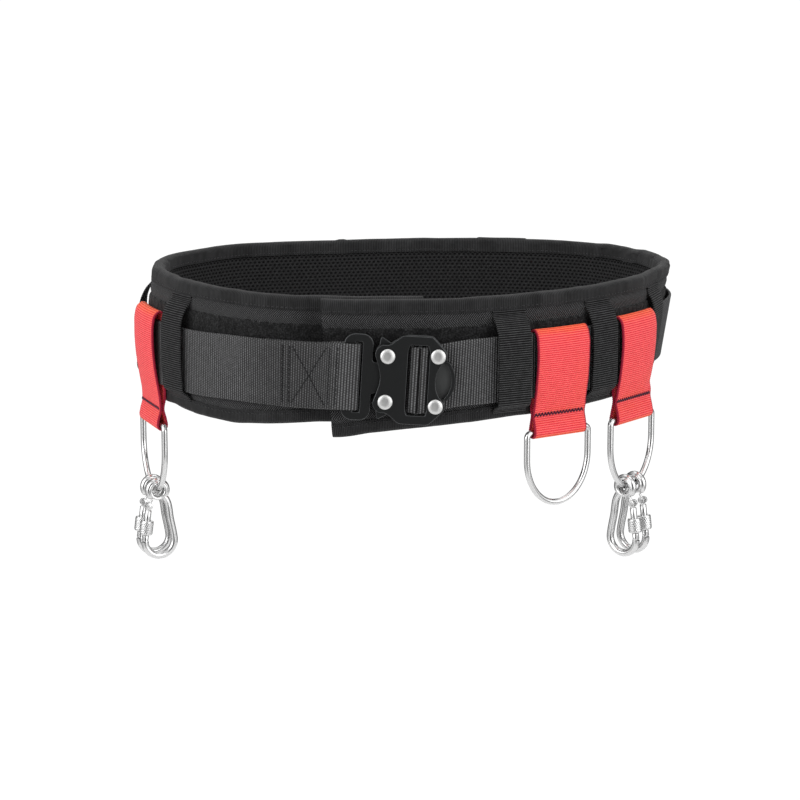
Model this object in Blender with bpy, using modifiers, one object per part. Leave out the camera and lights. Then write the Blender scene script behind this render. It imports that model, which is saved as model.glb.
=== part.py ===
# Padded work belt closed in its waist loop: a foam pad with bound edges, a ribbed webbing
# belt with a riveted release buckle, belt loops, and three red drop straps with steel
# rings, two of which carry a pair of screw-gate snap hooks.
# Run it with: blender --background --python part.py
import math

import bmesh
import bpy
import numpy as np
from mathutils import Matrix, Vector

MM = 0.001
GAP = 0.3                     # between neighbouring pieces, mm

# The loop seen from above, through the middle of the pad, counter-clockwise from the
# front: x, y in mm. The origin is the middle of the waist at half the pad's height.
PLAN = (
    (-20, -132), (60, -120), (122, -82), (163, -33), (185, 20), (163, 82), (100, 115),
    (20, 123), (-70, 109), (-140, 86), (-179, 38), (-169, -34), (-125, -91), (-70, -126),
)
LONGEST_STEP = 26.0           # between two sections of the belt
LARGEST_TURN = math.radians(9.5)

# Pad, in mm. Places along the loop are arc lengths from its first plan point.
PAD_TOP = 43.0
PAD_HALF = 3.0                # half the foam's thickness
TAPE = 0.9                    # edge binding's thickness
TAPE_LEG = 8.6                # how far the binding reaches down each face
SKIN = 1.1                    # mesh lining and fleece band
OUTER_END = -37.0             # end of the upper panel, in front of the lower one
INNER_END_PAST = 30.0         # end of the lower panel, past the plan's first point
END_SLANT = 7.0               # the upper panel's end leans this much from top to bottom
LAP = 4.75                    # each panel steps aside by this where they lap
FLEECE_TOP = 24.0
FLEECE_BOTTOM = -25.0

# Pad's lower edge: place along the loop, height.
PAD_BOTTOM = (
    (-37, -50.5), (-7, -47), (30, -43.5), (81, -40.3), (150, -38.8), (195, -36.5),
    (238, -29), (280, -27), (340, -31), (430, -38), (520, -40), (640, -42), (740, -45),
    (813, -46.5), (850, -48.5), (875, -49), (906, -46.5), (934, -43.5), (960, -42.5),
    (1030, -42),
)
# Sideways step of the pad's two lapped ends: place, share of LAP (outward is positive).
PAD_STEP = ((-37, 1), (40, 1), (98, 0), (885, 0), (946, -1), (1030, -1))

# Webbing belt: place, height of its middle, and how far its middle lies out of the plan.
WEB_WIDTH = 44.6
WEB_THICK = 2.0
WEB_RUN = (
    (70, -6.6, 12.0), (82, -6.2, 9.9), (98, -5.8, 8.4), (125, -5.6, 8.0), (216, -5.2, 8.0),
    (250, -3.2, 8.0), (300, -2.0, 8.0), (500, -4.0, 8.0), (700, -8.5, 8.0),
    (790, -11.0, 8.0), (850, -10.6, 8.0), (885, -9.0, 8.1), (912, -8.3, 8.7),
    (935, -7.8, 11.0), (948, -7.4, 13.2),
)
UNDER_PLY = ((914, -8.3, 6.2), (930, -7.9, 8.0), (948, -7.4, 10.7))

# Black belt loops: name, place, how far the loop's middle stands out.
LOOP_WIDTH = 24.6
LOOP_THICK = 1.4
LOOP_TOP = 33.0
LOOP_TUCK = 5.2               # its lower end is this far below the webbing
BELT_LOOPS = (
    ("belt_loop_right_1", 86.6, 15.6),
    ("belt_loop_right_2", 158.3, 12.6),
    ("belt_loop_right_3", 231.5, 12.6),
    ("belt_loop_left_2", 749.0, 12.8),
    ("belt_loop_left_1", 831.5, 13.0),
)

# Red drop straps: name, place, fold over the webbing, sewn line, and the ring bar's height.
STRAP_WIDTH = 43.6
STRAP_THICK = 1.6
STRAP_BACK = 5.8              # the rear ply's middle, out of the plan
STRAP_BULGE = 14.0            # the front ply's middle at its fullest
DROPS = (
    ("centre", 122.6, 19.6, -39.5, -51.4, False),
    ("right", 193.5, 20.2, -39.5, -52.4, True),
    ("left", 790.0, 18.6, -51.5, -62.4, True),
)

# Rings: a straight bar in the strap's pocket, short legs and an oval bottom, in mm.
RING_WIRE = 2.1
RING_HALF = 25.2              # from the middle to the leg's middle line
RING_DEEP = 50.0
RING_CORNER = 3.2
RING_OVAL = 32.0

# Snap hooks hanging on a ring: eye at the origin, gate on the outward side, in mm.
HOOK_SPREAD = 6.1             # each hook hangs this far beside the ring's middle
EYE_DROP = 0.5                # the eye's middle is this far below the ring's wire
EYE_HOLE = 4.2
EYE_FLANGE = 7.3
EYE_WIRE = 2.75
EYE_RING = 7.0
HOOK_WIRE = 2.8
HOOK_LEAN = math.radians(9.0)
HOOK_START = (6.4, -8.5)      # on the middle line of the back and, mirrored, of the gate
HOOK_LOWEST = -47.5
HINGE = (-6.75, -10.7)
GATE_WIRE = 2.3
GATE_END = -31.2
SLEEVE_OUT = 4.7
SLEEVE_LONG = 10.0
HOOK_TILT = math.radians(-1.55)  # the hook hangs with its weight under the ring's wire

# Buckle, in its own frame: x to the right, z up, and t outward from the webbing's back.
BUCKLE_AT = (0.0, -142.2, -8.3)
BUCKLE_YAW = math.radians(2.0)
BUCKLE_LEAN = math.radians(3.4)
BOTTOM_PLATE = (2.6, 4.6)
LEVER_LAYER = (4.95, 8.15)
TOP_PLATE = (8.5, 10.7)
SLOT = (0.2, 12.2, 23.4)      # left, right, half its length
BAR_AT = (6.2, 6.55)
BAR_RADIUS = 1.65
RIVETS = (
    ("rivet_upper_left", -15.0, 15.3), ("rivet_lower_left", -15.0, -15.3),
    ("rivet_upper_right", 18.2, 16.8), ("rivet_lower_right", 18.2, -16.8),
)
RIVET_HEAD = 5.0
RIVET_SHANK = 2.0
FRAME_BAR = (-44.0, -36.5)    # the bar that the webbing's sewn end goes round
FRAME_SLOT_END = -31.6

BLACK_FOAM = ((0.012, 0.012, 0.013), 0.9, 0.0)
BLACK_TAPE = ((0.018, 0.018, 0.019), 0.8, 0.0)
BLACK_LOOP = ((0.015, 0.015, 0.016), 0.7, 0.0)
GREY_WEB = ((0.075, 0.078, 0.082), 0.7, 0.0)
RED_WEB = ((0.78, 0.045, 0.06), 0.6, 0.0)
STEEL = ((0.72, 0.73, 0.74), 0.22, 1.0)
RIVET_STEEL = ((0.62, 0.61, 0.60), 0.35, 1.0)
BLACK_METAL = ((0.016, 0.017, 0.018), 0.4, 0.6)


def clear_scene():
    for thing in list(bpy.data.objects):
        bpy.data.objects.remove(thing, do_unlink=True)


def collection(name):
    made = bpy.data.collections.new(name)
    bpy.context.scene.collection.children.link(made)
    return made


def material(name, look):
    colour, roughness, metallic = look
    made = bpy.data.materials.new(name)
    made.use_nodes = True
    shader = made.node_tree.nodes["Principled BSDF"]
    shader.inputs["Base Color"].default_value = (*colour, 1.0)
    shader.inputs["Roughness"].default_value = roughness
    shader.inputs["Metallic"].default_value = metallic
    return made


# Curves through tables

def closed_spline(points, samples):
    """Points on a closed cubic spline through the given ones, evenly spread by chord."""
    knots = np.array(points, float)
    count = len(knots)
    chord = np.linalg.norm(np.roll(knots, -1, 0) - knots, axis=1)
    at = np.concatenate([[0.0], np.cumsum(chord)])
    system = np.zeros((count, count))
    right = np.zeros((count, 2))
    for i in range(count):
        before, after = chord[i - 1], chord[i]
        system[i, i - 1] += before
        system[i, i] += 2 * (before + after)
        system[i, (i + 1) % count] += after
        right[i] = 6 * ((knots[(i + 1) % count] - knots[i]) / after - (knots[i] - knots[i - 1]) / before)
    bend = np.linalg.solve(system, right)
    where = np.linspace(0.0, at[-1], samples, endpoint=False)
    left = np.searchsorted(at, where, side="right") - 1
    nxt = (left + 1) % count
    span = chord[left]
    b = (where - at[left]) / span
    a = 1.0 - b
    curve = a[:, None] * knots[left] + b[:, None] * knots[nxt]
    cubic = (a ** 3 - a)[:, None] * bend[left] + (b ** 3 - b)[:, None] * bend[nxt]
    return curve + cubic * (span ** 2)[:, None] / 6


PLAN_CURVE = closed_spline(PLAN, 4000)
PLAN_STEP = np.linalg.norm(np.roll(PLAN_CURVE, -1, 0) - PLAN_CURVE, axis=1)
PLAN_AT = np.concatenate([[0.0], np.cumsum(PLAN_STEP)])
LOOP_LENGTH = float(PLAN_AT[-1])


def plan_point(place):
    wrapped = place % LOOP_LENGTH
    ring = np.vstack([PLAN_CURVE, PLAN_CURVE[:1]])
    return Vector((np.interp(wrapped, PLAN_AT, ring[:, 0]), np.interp(wrapped, PLAN_AT, ring[:, 1])))


def plan_tangent(place):
    return (plan_point(place + 1.5) - plan_point(place - 1.5)).normalized()


def outward(place):
    along = plan_tangent(place)
    return Vector((along.y, -along.x))


def through(table, column, place):
    """A smooth value between a table's rows, from their first column to the given one."""
    xs = [row[0] for row in table]
    ys = [row[column] for row in table]
    if place <= xs[0]:
        return ys[0]
    if place >= xs[-1]:
        return ys[-1]
    i = max(k for k in range(len(xs) - 1) if xs[k] <= place)
    slope = [(ys[k + 1] - ys[k]) / (xs[k + 1] - xs[k]) for k in range(len(xs) - 1)]

    def knot_slope(k):
        if k == 0 or k == len(xs) - 1:
            return 0.0
        if slope[k - 1] * slope[k] <= 0:
            return 0.0
        return 2 * slope[k - 1] * slope[k] / (slope[k - 1] + slope[k])

    h = xs[i + 1] - xs[i]
    t = (place - xs[i]) / h
    low, high = knot_slope(i) * h, knot_slope(i + 1) * h
    return ((2 * t ** 3 - 3 * t ** 2 + 1) * ys[i] + (t ** 3 - 2 * t ** 2 + t) * low
            + (3 * t ** 2 - 2 * t ** 3) * ys[i + 1] + (t ** 3 - t ** 2) * high)


def pad_step(place):
    return LAP * through(PAD_STEP, 1, place)


def smoothstep(low, high, value):
    t = min(1.0, max(0.0, (value - low) / (high - low)))
    return t * t * (3 - 2 * t)


def belt_point(place, out, height):
    """Where a place along the loop, a distance out of it and a height meet, in metres."""
    flat = plan_point(place) + out * outward(place)
    return Vector((flat.x, flat.y, height)) * MM


def stations(first, last):
    """Places from first to last, closer together where the loop turns."""
    found = [first]
    while found[-1] < last:
        step = LONGEST_STEP
        while step > 6 and plan_tangent(found[-1]).angle(plan_tangent(found[-1] + step)) > LARGEST_TURN:
            step -= 1.0
        found.append(found[-1] + step)
    shrink = (last - first) / (found[-1] - first)
    return [first + (place - first) * shrink for place in found]


def smooth_path(points, per_span):
    """Catmull-Rom points through an open list of 2D points."""
    spread = [points[0], *points, points[-1]]
    found = []
    for i in range(len(points) - 1):
        a, b, c, d = (Vector(p) for p in spread[i:i + 4])
        for k in range(per_span):
            t = k / per_span
            found.append(0.5 * (2 * b + (c - a) * t + (2 * a - 5 * b + 4 * c - d) * t ** 2
                                + (3 * b - a - 3 * c + d) * t ** 3))
    found.append(Vector(points[-1]))
    return found


# Solids

def mesh_object(name, mesh, group, look):
    mesh.name = name
    made = bpy.data.objects.new(name, mesh)
    group.objects.link(made)
    if look is not None:
        mesh.materials.clear()
        mesh.materials.append(look)
    mesh.shade_smooth()
    mesh.set_sharp_from_angle(angle=math.radians(40))
    return made


def loft(name, sections, closed, group, look):
    """One closed body through sections of equal point count, capped unless it is a ring."""
    bm = bmesh.new()
    rows = [[bm.verts.new(point) for point in section] for section in sections]
    count = len(rows[0])
    pairs = list(zip(rows, rows[1:]))
    if closed:
        pairs.append((rows[-1], rows[0]))
    for here, there in pairs:
        for i in range(count):
            j = (i + 1) % count
            bm.faces.new((here[i], here[j], there[j], there[i]))
    if not closed:
        bm.faces.new(list(reversed(rows[0])))
        bm.faces.new(rows[-1])
    bmesh.ops.recalc_face_normals(bm, faces=bm.faces)
    mesh = bpy.data.meshes.new(name)
    bm.to_mesh(mesh)
    bm.free()
    return mesh_object(name, mesh, group, look)


def belt_strip(name, profile, places, group, look):
    """A strip along the pad: profile gives (out, height) corners at each place."""
    sections = []
    for place in places:
        slant = END_SLANT * (1 - smoothstep(OUTER_END, 20, place))
        section = []
        for out, height in profile(place):
            shifted = place + slant * (PAD_TOP - height) / (2 * PAD_TOP)
            section.append(belt_point(shifted, out + pad_step(place), height))
        sections.append(section)
    return loft(name, sections, False, group, look)


def flat_outline(name, loops, layer, group, look):
    """A plate between two t heights from an outline and the outlines of its holes."""
    curve = bpy.data.curves.new(name, "CURVE")
    curve.dimensions = "2D"
    curve.fill_mode = "BOTH"
    curve.extrude = (layer[1] - layer[0]) / 2 * MM
    for points in loops:
        spline = curve.splines.new("POLY")
        spline.points.add(len(points) - 1)
        for knot, (x, z) in zip(spline.points, points):
            knot.co = (x * MM, z * MM, 0.0, 1.0)
        spline.use_cyclic_u = True
    made = bpy.data.objects.new(name, curve)
    group.objects.link(made)
    curve.materials.append(look)
    made.matrix_world = BUCKLE_FRAME @ Matrix.Translation((0, 0, (layer[0] + layer[1]) / 2 * MM))
    return made


def as_mesh(thing):
    """The same object as a mesh whose loose caps are welded."""
    bpy.context.view_layer.update()
    seen = thing.evaluated_get(bpy.context.evaluated_depsgraph_get())
    mesh = bpy.data.meshes.new_from_object(seen)
    bm = bmesh.new()
    bm.from_mesh(mesh)
    bmesh.ops.remove_doubles(bm, verts=bm.verts, dist=1e-6)
    bmesh.ops.recalc_face_normals(bm, faces=bm.faces)
    bm.to_mesh(mesh)
    bm.free()
    name = thing.name
    made = bpy.data.objects.new(name, mesh)
    made.matrix_world = thing.matrix_world
    thing.users_collection[0].objects.link(made)
    bpy.data.objects.remove(thing, do_unlink=True)
    made.name = name
    return made


def combine(base, others, operation):
    """The base mesh object with each other one joined to it or cut from it."""
    for other in others:
        boolean = base.modifiers.new("join", "BOOLEAN")
        boolean.operation = operation
        boolean.object = other
    bpy.context.view_layer.update()
    seen = base.evaluated_get(bpy.context.evaluated_depsgraph_get())
    mesh = bpy.data.meshes.new_from_object(seen)
    base.modifiers.clear()
    base.data = mesh
    for other in others:
        bpy.data.objects.remove(other, do_unlink=True)
    return mesh


def tube(name, points, radius, closed, group, look, radii=None):
    """A wire along points in metres, with caps where it is open."""
    curve = bpy.data.curves.new(name, "CURVE")
    curve.dimensions = "3D"
    curve.bevel_depth = radius * MM
    curve.bevel_resolution = 2
    curve.use_fill_caps = True
    spline = curve.splines.new("POLY")
    spline.points.add(len(points) - 1)
    for i, (knot, point) in enumerate(zip(spline.points, points)):
        knot.co = (*point, 1.0)
        knot.radius = 1.0 if radii is None else radii[i]
    spline.use_cyclic_u = closed
    made = bpy.data.objects.new(name, curve)
    group.objects.link(made)
    if look is not None:
        curve.materials.append(look)
    return made


def turned(name, profile, steps, group, look):
    """A profile of (radius, along) corners turned about the z axis, in mm."""
    sections = []
    for k in range(steps):
        angle = 2 * math.pi * k / steps
        sections.append([
            Vector((r * math.cos(angle), r * math.sin(angle), along)) * MM for r, along in profile
        ])
    return loft(name, sections, True, group, look)


def spun(name, profile, steps, group, look):
    """A closed profile that starts and ends on the z axis, turned with Screw, in mm."""
    mesh = bpy.data.meshes.new(name)
    corners = [(r * MM, 0.0, along * MM) for r, along in profile]
    mesh.from_pydata(corners, [(i, i + 1) for i in range(len(corners) - 1)], [])
    made = mesh_object(name, mesh, group, look)
    screw = made.modifiers.new("turn", "SCREW")
    screw.steps = steps
    screw.render_steps = steps
    screw.use_merge_vertices = True
    screw.merge_threshold = 0.00001
    screw.use_smooth_shade = True
    return made


# Pad, its binding, lining and fleece band

def pad_low(place):
    return through(PAD_BOTTOM, 1, place)


def core_profile(place):
    low, high, half, cut = pad_low(place) + TAPE + GAP, PAD_TOP - TAPE - GAP, PAD_HALF, 1.4
    return (
        (-half, low + cut), (0, low), (half, low + cut), (half, high - cut), (0, high), (-half, high - cut),
    )


def binding_profile(edge, way):
    """The U of the tape over an edge: way is 1 at the top and -1 at the bottom."""
    near = PAD_HALF + GAP
    far = near + TAPE

    def corners(place):
        crest = edge(place)
        leg = crest - way * (TAPE + TAPE_LEG)
        bed = crest - way * TAPE
        return (
            (far, leg), (far, crest - way * 1.9), (0, crest), (-far, crest - way * 1.9), (-far, leg),
            (-near, leg), (-near, bed - way * 1.1), (0, bed), (near, bed - way * 1.1), (near, leg),
        )
    return corners


def band_profile(side, low, high):
    near = side * (PAD_HALF + GAP)
    far = side * (PAD_HALF + GAP + SKIN)

    def corners(place):
        return ((near, low(place)), (far, low(place)), (far, high(place)), (near, high(place)))
    return corners


def make_pad(group):
    tape = material("edge binding", BLACK_TAPE)
    places = stations(OUTER_END, LOOP_LENGTH + INNER_END_PAST)
    inside = [places[0] + 0.6, *places[1:-1], places[-1] - 0.6]
    above_tape = TAPE + TAPE_LEG + GAP
    belt_strip("pad_body", core_profile, places, group, material("pad shell", BLACK_FOAM))
    belt_strip("edge_binding_top", binding_profile(lambda place: PAD_TOP, 1), places, group, tape)
    belt_strip("edge_binding_bottom", binding_profile(pad_low, -1), places, group, tape)
    belt_strip("mesh_lining", band_profile(
        -1, lambda place: pad_low(place) + above_tape, lambda place: PAD_TOP - above_tape,
    ), inside, group, material("mesh lining", BLACK_FOAM))
    belt_strip("fleece_band", band_profile(
        1, lambda place: max(FLEECE_BOTTOM, pad_low(place) + above_tape), lambda place: FLEECE_TOP,
    ), inside, group, material("fleece", BLACK_FOAM))


# Webbing belt

def buckle_frame():
    """Buckle axes: x along the belt, its y up the plate, its z outward."""
    out = Vector((math.sin(BUCKLE_YAW), -math.cos(BUCKLE_YAW), 0))
    side = Vector((math.cos(BUCKLE_YAW), math.sin(BUCKLE_YAW), 0))
    lean = Matrix.Rotation(-BUCKLE_LEAN, 3, out)
    frame = Matrix((lean @ side, lean @ Vector((0, 0, 1)), out)).transposed().to_4x4()
    frame.translation = Vector(BUCKLE_AT) * MM
    return frame


BUCKLE_FRAME = buckle_frame()


def buckle_point(x, z, t):
    return BUCKLE_FRAME @ (Vector((x, z, t)) * MM)


def web_path():
    """Centre points of the webbing from its sewn end to its tail, each with its up axis."""
    tilt = (BUCKLE_FRAME.to_3x3() @ Vector((0, 1, 0))).normalized()
    up = Vector((0, 0, 1))
    rows = []
    for place in (914, 922, 930, 939, 948):
        share = smoothstep(910, 962, place)
        rows.append((belt_point(place, through(UNDER_PLY, 2, place), through(UNDER_PLY, 1, place)),
                     up.lerp(tilt, share)))
    middle = (LEVER_LAYER[0] + LEVER_LAYER[1]) / 2
    fold = (LEVER_LAYER[1] - LEVER_LAYER[0]) / 2 + GAP + WEB_THICK / 2
    rows.append((buckle_point(FRAME_BAR[0] - 2, 0, middle - fold), tilt))
    for k in range(9):
        turn = math.pi * (k / 8 - 0.5)
        rows.append((buckle_point(FRAME_BAR[1] + fold * math.cos(turn), 0,
                                  middle + fold * math.sin(turn)), tilt))
    rows.append((buckle_point(FRAME_BAR[0] - 1, 0, middle + fold), tilt))
    for place in reversed(stations(WEB_RUN[0][0], WEB_RUN[-1][0])):
        share = max(smoothstep(905, 960, place), 1 - smoothstep(45, 90, place))
        rows.append((belt_point(place, through(WEB_RUN, 2, place), through(WEB_RUN, 1, place)),
                     up.lerp(tilt, share)))
    return rows + adjuster_path(tilt)


def adjuster_path(tilt):
    """The webbing's other end: behind the buckle, up over the adjuster bar and down again."""
    x, t = BAR_AT
    reach = BAR_RADIUS + GAP + WEB_THICK / 2
    back = WEB_THICK / 2 + GAP
    bend = 1.6
    rows = [(buckle_point(34, 0, back), tilt), (buckle_point(20, 0, back), tilt)]
    for k in range(4):
        turn = math.radians(30 * k)
        rows.append((buckle_point(x + reach + bend * (1 - math.sin(turn)), 0,
                                  back + bend * (1 - math.cos(turn))), tilt))
    for k in range(9):
        turn = math.pi * k / 8
        rows.append((buckle_point(x + reach * math.cos(turn), 0, t + reach * math.sin(turn)), tilt))
    for k in range(4):
        turn = math.radians(90 - 30 * k)
        rows.append((buckle_point(x - reach - bend * (1 - math.sin(turn)), 0,
                                  back + bend * (1 - math.cos(turn))), tilt))
    rows.append((buckle_point(-15, 0, back), tilt))
    return rows


def make_webbing(group):
    rows = web_path()
    sections = []
    for i, (point, up) in enumerate(rows):
        before = rows[max(i - 1, 0)][0]
        after = rows[min(i + 1, len(rows) - 1)][0]
        along = (after - before).normalized()
        thick = along.cross(up).normalized() * WEB_THICK / 2 * MM
        high = up.normalized() * WEB_WIDTH / 2 * MM
        sections.append([
            point - thick - high, point + thick - high, point + thick + high, point - thick + high,
        ])
    loft("webbing_belt", sections, False, group, material("grey webbing", GREY_WEB))


# Bands that stand on the pad: belt loops and drop straps

def band(name, place, path, width, thick, columns, straighten, closed, group, look):
    """A webbing band whose path of (out, height) points is drawn at right angles to the belt."""
    along = plan_tangent(place)
    count = len(path)
    sections = []
    for i, point in enumerate(path):
        before = path[(i - 1) % count] if closed or i > 0 else point
        after = path[(i + 1) % count] if closed or i < count - 1 else point
        run = (after - before).normalized()
        side = Vector((run.y, -run.x)) * thick / 2
        faces = []
        for sign in (-1, 1):
            row = []
            for k in range(columns + 1):
                off = width * (k / columns - 0.5)
                out, height = point + sign * side
                spot = place + off * place_rate(place, out)
                bent = belt_point(spot, out + pad_step(spot), height)
                flat = plan_point(place) + out * outward(place) + off * along
                straight = Vector((flat.x, flat.y, height)) * MM
                row.append(bent.lerp(straight, straighten(height)))
            faces.append(row)
        sections.append(faces[0] + faces[1][::-1])
    return loft(name, sections, closed, group, look)


def place_rate(place, out):
    """How much place a millimetre covers at a distance out of the plan."""
    turn = plan_tangent(place - 12).angle(plan_tangent(place + 12)) / 24
    return 1 / (1 + turn * out)


def make_belt_loops(group):
    look = material("black webbing", BLACK_LOOP)
    start = PAD_HALF + 2 * GAP + LOOP_THICK / 2
    foot = start + TAPE
    for name, place, full in BELT_LOOPS:
        top = LOOP_TOP
        bottom = through(WEB_RUN, 1, place) - WEB_WIDTH / 2 - LOOP_TUCK
        path = smooth_path((
            (start, top), (start, top - 4.5), (start + (full - start) * 0.5, top - 9.5),
            (full - 0.8, top - 17), (full, top - 27), (full, bottom + 24), (full - 0.5, bottom + 13),
            (full - 1.4, bottom + 6), (foot + 1.6, bottom + 1.9), (foot, bottom - 0.6),
        ), 2)
        band(name, place, path, LOOP_WIDTH, LOOP_THICK, 2, lambda height: 0.0, False, group, look)


def drop_path(fold, web_low, seam, bar):
    """The strap's closed run: over the webbing, down to the sewn line and round the ring's bar."""
    ply = STRAP_THICK + GAP
    pocket = RING_WIRE + GAP + STRAP_THICK / 2
    middle = STRAP_BACK + ply / 2
    half = STRAP_THICK / 2
    front = smooth_path((
        (STRAP_BACK, fold - 6), (STRAP_BACK + 0.1, fold - 2.2), (STRAP_BACK + 3.2, fold - 0.1 - half),
        (STRAP_BULGE - 2.4, fold - 2.8), (STRAP_BULGE - 0.4, fold - 9), (STRAP_BULGE, fold - 17),
        (STRAP_BULGE - 0.8, web_low + 16), (STRAP_BULGE - 2.6, web_low + 3),
        (STRAP_BACK + ply + 1.5, (web_low + seam) / 2 - 1), (STRAP_BACK + ply, seam),
        (middle + pocket - 0.6, bar + 4.2),
    ), 2)
    round_bar = [
        Vector((middle + pocket * math.cos(turn), bar - pocket * math.sin(turn)))
        for turn in (math.radians(22.5 * k) for k in range(9))
    ]
    back = smooth_path((
        (middle - pocket + 0.6, bar + 4.2), (STRAP_BACK, seam), (STRAP_BACK, seam + 6),
        (STRAP_BACK, seam + 20), (STRAP_BACK, 0),
    ), 2)
    return front + round_bar + back, middle


def make_drops(group, hook_meshes):
    red = material("red webbing", RED_WEB)
    steel = material("steel", STEEL)
    for side, place, fold, seam, bar, with_hooks in DROPS:
        web_low = through(WEB_RUN, 1, place) - WEB_WIDTH / 2
        path, middle = drop_path(fold, web_low, seam, bar)
        band("drop_strap_" + side, place, path, STRAP_WIDTH, STRAP_THICK, 2,
             lambda height, low=seam: 1 - smoothstep(low, low + 10, height), True, group, red)
        frame = drop_frame(place, middle, bar)
        ring = tube("ring_" + side, ring_path(), RING_WIRE, True, group, steel)
        ring.matrix_world = frame
        if with_hooks:
            for end, offset in (("front", front_sign(side)), ("rear", -front_sign(side))):
                make_hook(side + "_" + end, frame, offset * HOOK_SPREAD, hook_meshes, group)


def front_sign(side):
    """Which way along the loop the nearer hook of a pair hangs."""
    return -1 if side == "right" else 1


def drop_frame(place, out, bar):
    """Axes of a ring: x along the belt, y inward and z up, at its bar's middle."""
    along = plan_tangent(place)
    out_way = outward(place)
    frame = Matrix(((along.x, -out_way.x, 0), (along.y, -out_way.y, 0), (0, 0, 1))).to_4x4()
    spot = plan_point(place) + out * out_way
    frame.translation = Vector((spot.x, spot.y, bar)) * MM
    return frame


def ring_path():
    """Middle line of the ring in its own plane, from its bar's middle, in metres."""
    half, corner, oval = RING_HALF, RING_CORNER, RING_OVAL
    leg_top, leg_low = -corner, -(RING_DEEP - oval)
    right = [(half - corner, 0.0)]
    for k in range(1, 4):
        turn = math.radians(30 * k)
        right.append((half - corner + corner * math.sin(turn), leg_top + corner * math.cos(turn)))
    for k in range(0, 7):
        turn = math.radians(12.86 * k)
        right.append((half * math.cos(turn), leg_low - oval * math.sin(turn)))
    points = right + [(0.0, -RING_DEEP)] + [(-x, z) for x, z in reversed(right)]
    return [Vector((x, 0, z)) * MM for x, z in points]


def ring_drop(offset):
    """Height of the ring's middle line beside its lowest point."""
    return -(RING_DEEP - RING_OVAL) - RING_OVAL * math.sqrt(1 - (offset / RING_HALF) ** 2)


# Snap hooks

def hook_line():
    """The pear's circle that both straight sides run into: radius, centre height, touch point."""
    n = Vector((math.cos(HOOK_LEAN), math.sin(HOOK_LEAN)))
    x, z = HOOK_START
    radius = (x * n.x + z * n.y - HOOK_LOWEST * n.y) / (1 + n.y)
    centre = HOOK_LOWEST + radius
    return radius, centre, Vector((radius * n.x, centre + radius * n.y))


def gate_point(height):
    """On the gate's middle line at a height, in mm."""
    return Vector((-HOOK_START[0] - (HOOK_START[1] - height) * math.tan(HOOK_LEAN), height))


def hook_body_mesh(scratch):
    radius, centre, touch = hook_line()
    points = [Vector((4.6, -5.8)), Vector(HOOK_START), Vector(HOOK_START).lerp(touch, 0.5)]
    for k in range(10):
        turn = HOOK_LEAN - (math.pi + 2 * HOOK_LEAN) * k / 9
        points.append(Vector((radius * math.cos(turn), centre + radius * math.sin(turn))))
    nose = gate_point(GATE_END - GAP)
    step = gate_point(GATE_END - 4.2)
    thin = GATE_WIRE / HOOK_WIRE
    points += [step + (step - nose) * 0.1, step, nose]
    radii = [1.0] * (len(points) - 2) + [thin, thin]
    wire = as_mesh(tube("hook wire", [Vector((p.x, 0, p.y)) * MM for p in points], HOOK_WIRE, False,
                        scratch, None, radii))
    eye = turned("hook eye", eye_profile(), 14, scratch, None)
    eye.data.transform(Matrix.Rotation(math.radians(90), 4, "X"))
    return combine(eye, [wire, hook_lug(scratch, 0.8, 2.0, 5.2)], "UNION")


def eye_profile():
    """Section of the eye: a thimble with flat flanges inside the bent wire."""
    flange = 3.3
    arc = []
    for k in range(4):
        turn = math.radians(-78 + 52 * k)
        arc.append((EYE_RING + EYE_WIRE * math.cos(turn), EYE_WIRE * math.sin(turn)))
    return [
        (EYE_HOLE + 0.5, -flange), (EYE_FLANGE, -flange), *arc, (EYE_FLANGE, flange),
        (EYE_HOLE + 0.5, flange), (EYE_HOLE, flange - 1.2), (EYE_HOLE, 1.2 - flange),
    ]


def disc(name, centre, radius, half_thick, segments, group):
    """A cylinder across the hook's plane at a point of it, in mm."""
    bm = bmesh.new()
    bmesh.ops.create_cone(bm, cap_ends=True, segments=segments, radius1=radius * MM,
                          radius2=radius * MM, depth=2 * half_thick * MM)
    spot = Matrix.Translation((centre[0] * MM, 0, centre[1] * MM))
    return from_bmesh(name, bm, spot @ Matrix.Rotation(math.radians(90), 4, "X"), group)


def box_between(name, start, end, width, half_thick, group):
    """A bar in the hook's plane from one point to another, in mm."""
    run = Vector(end) - Vector(start)
    middle = (Vector(end) + Vector(start)) / 2
    bm = bmesh.new()
    bmesh.ops.create_cube(bm, size=1.0)
    turn = Matrix.Rotation(-math.atan2(run.y, run.x), 4, "Y")
    size = Matrix.Diagonal((run.length * MM, 2 * half_thick * MM, width * MM, 1))
    spot = Matrix.Translation((middle.x * MM, 0, middle.y * MM))
    return from_bmesh(name, bm, spot @ turn @ size, group)


def from_bmesh(name, bm, place, group):
    bm.transform(place)
    mesh = bpy.data.meshes.new(name)
    bm.to_mesh(mesh)
    bm.free()
    made = bpy.data.objects.new(name, mesh)
    group.objects.link(made)
    return made


def hook_lug(scratch, half_thick, radius, reach):
    """The tongue on the eye that the gate's fork straddles."""
    knob = disc("lug", HINGE, radius, half_thick, 12, scratch)
    way = -Vector(HINGE).normalized() * reach
    stem = box_between("stem", HINGE, Vector(HINGE) + way, 2 * radius * 0.9, half_thick - 0.05, scratch)
    combine(knob, [stem], "UNION")
    return knob


def gate_mesh(scratch):
    top = Vector(HINGE)
    end = gate_point(GATE_END)
    rod = as_mesh(tube("gate rod", [Vector((p.x, 0, p.y)) * MM for p in (top, top.lerp(end, 0.5), end)],
                       GATE_WIRE, False, scratch, None))
    head = disc("gate head", HINGE, 2.45, 2.5, 12, scratch)
    slot = disc("gate slot", HINGE, 3.3, 0.8 + GAP, 12, scratch)
    combine(head, [rod], "UNION")
    return combine(head, [slot], "DIFFERENCE")


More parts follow.
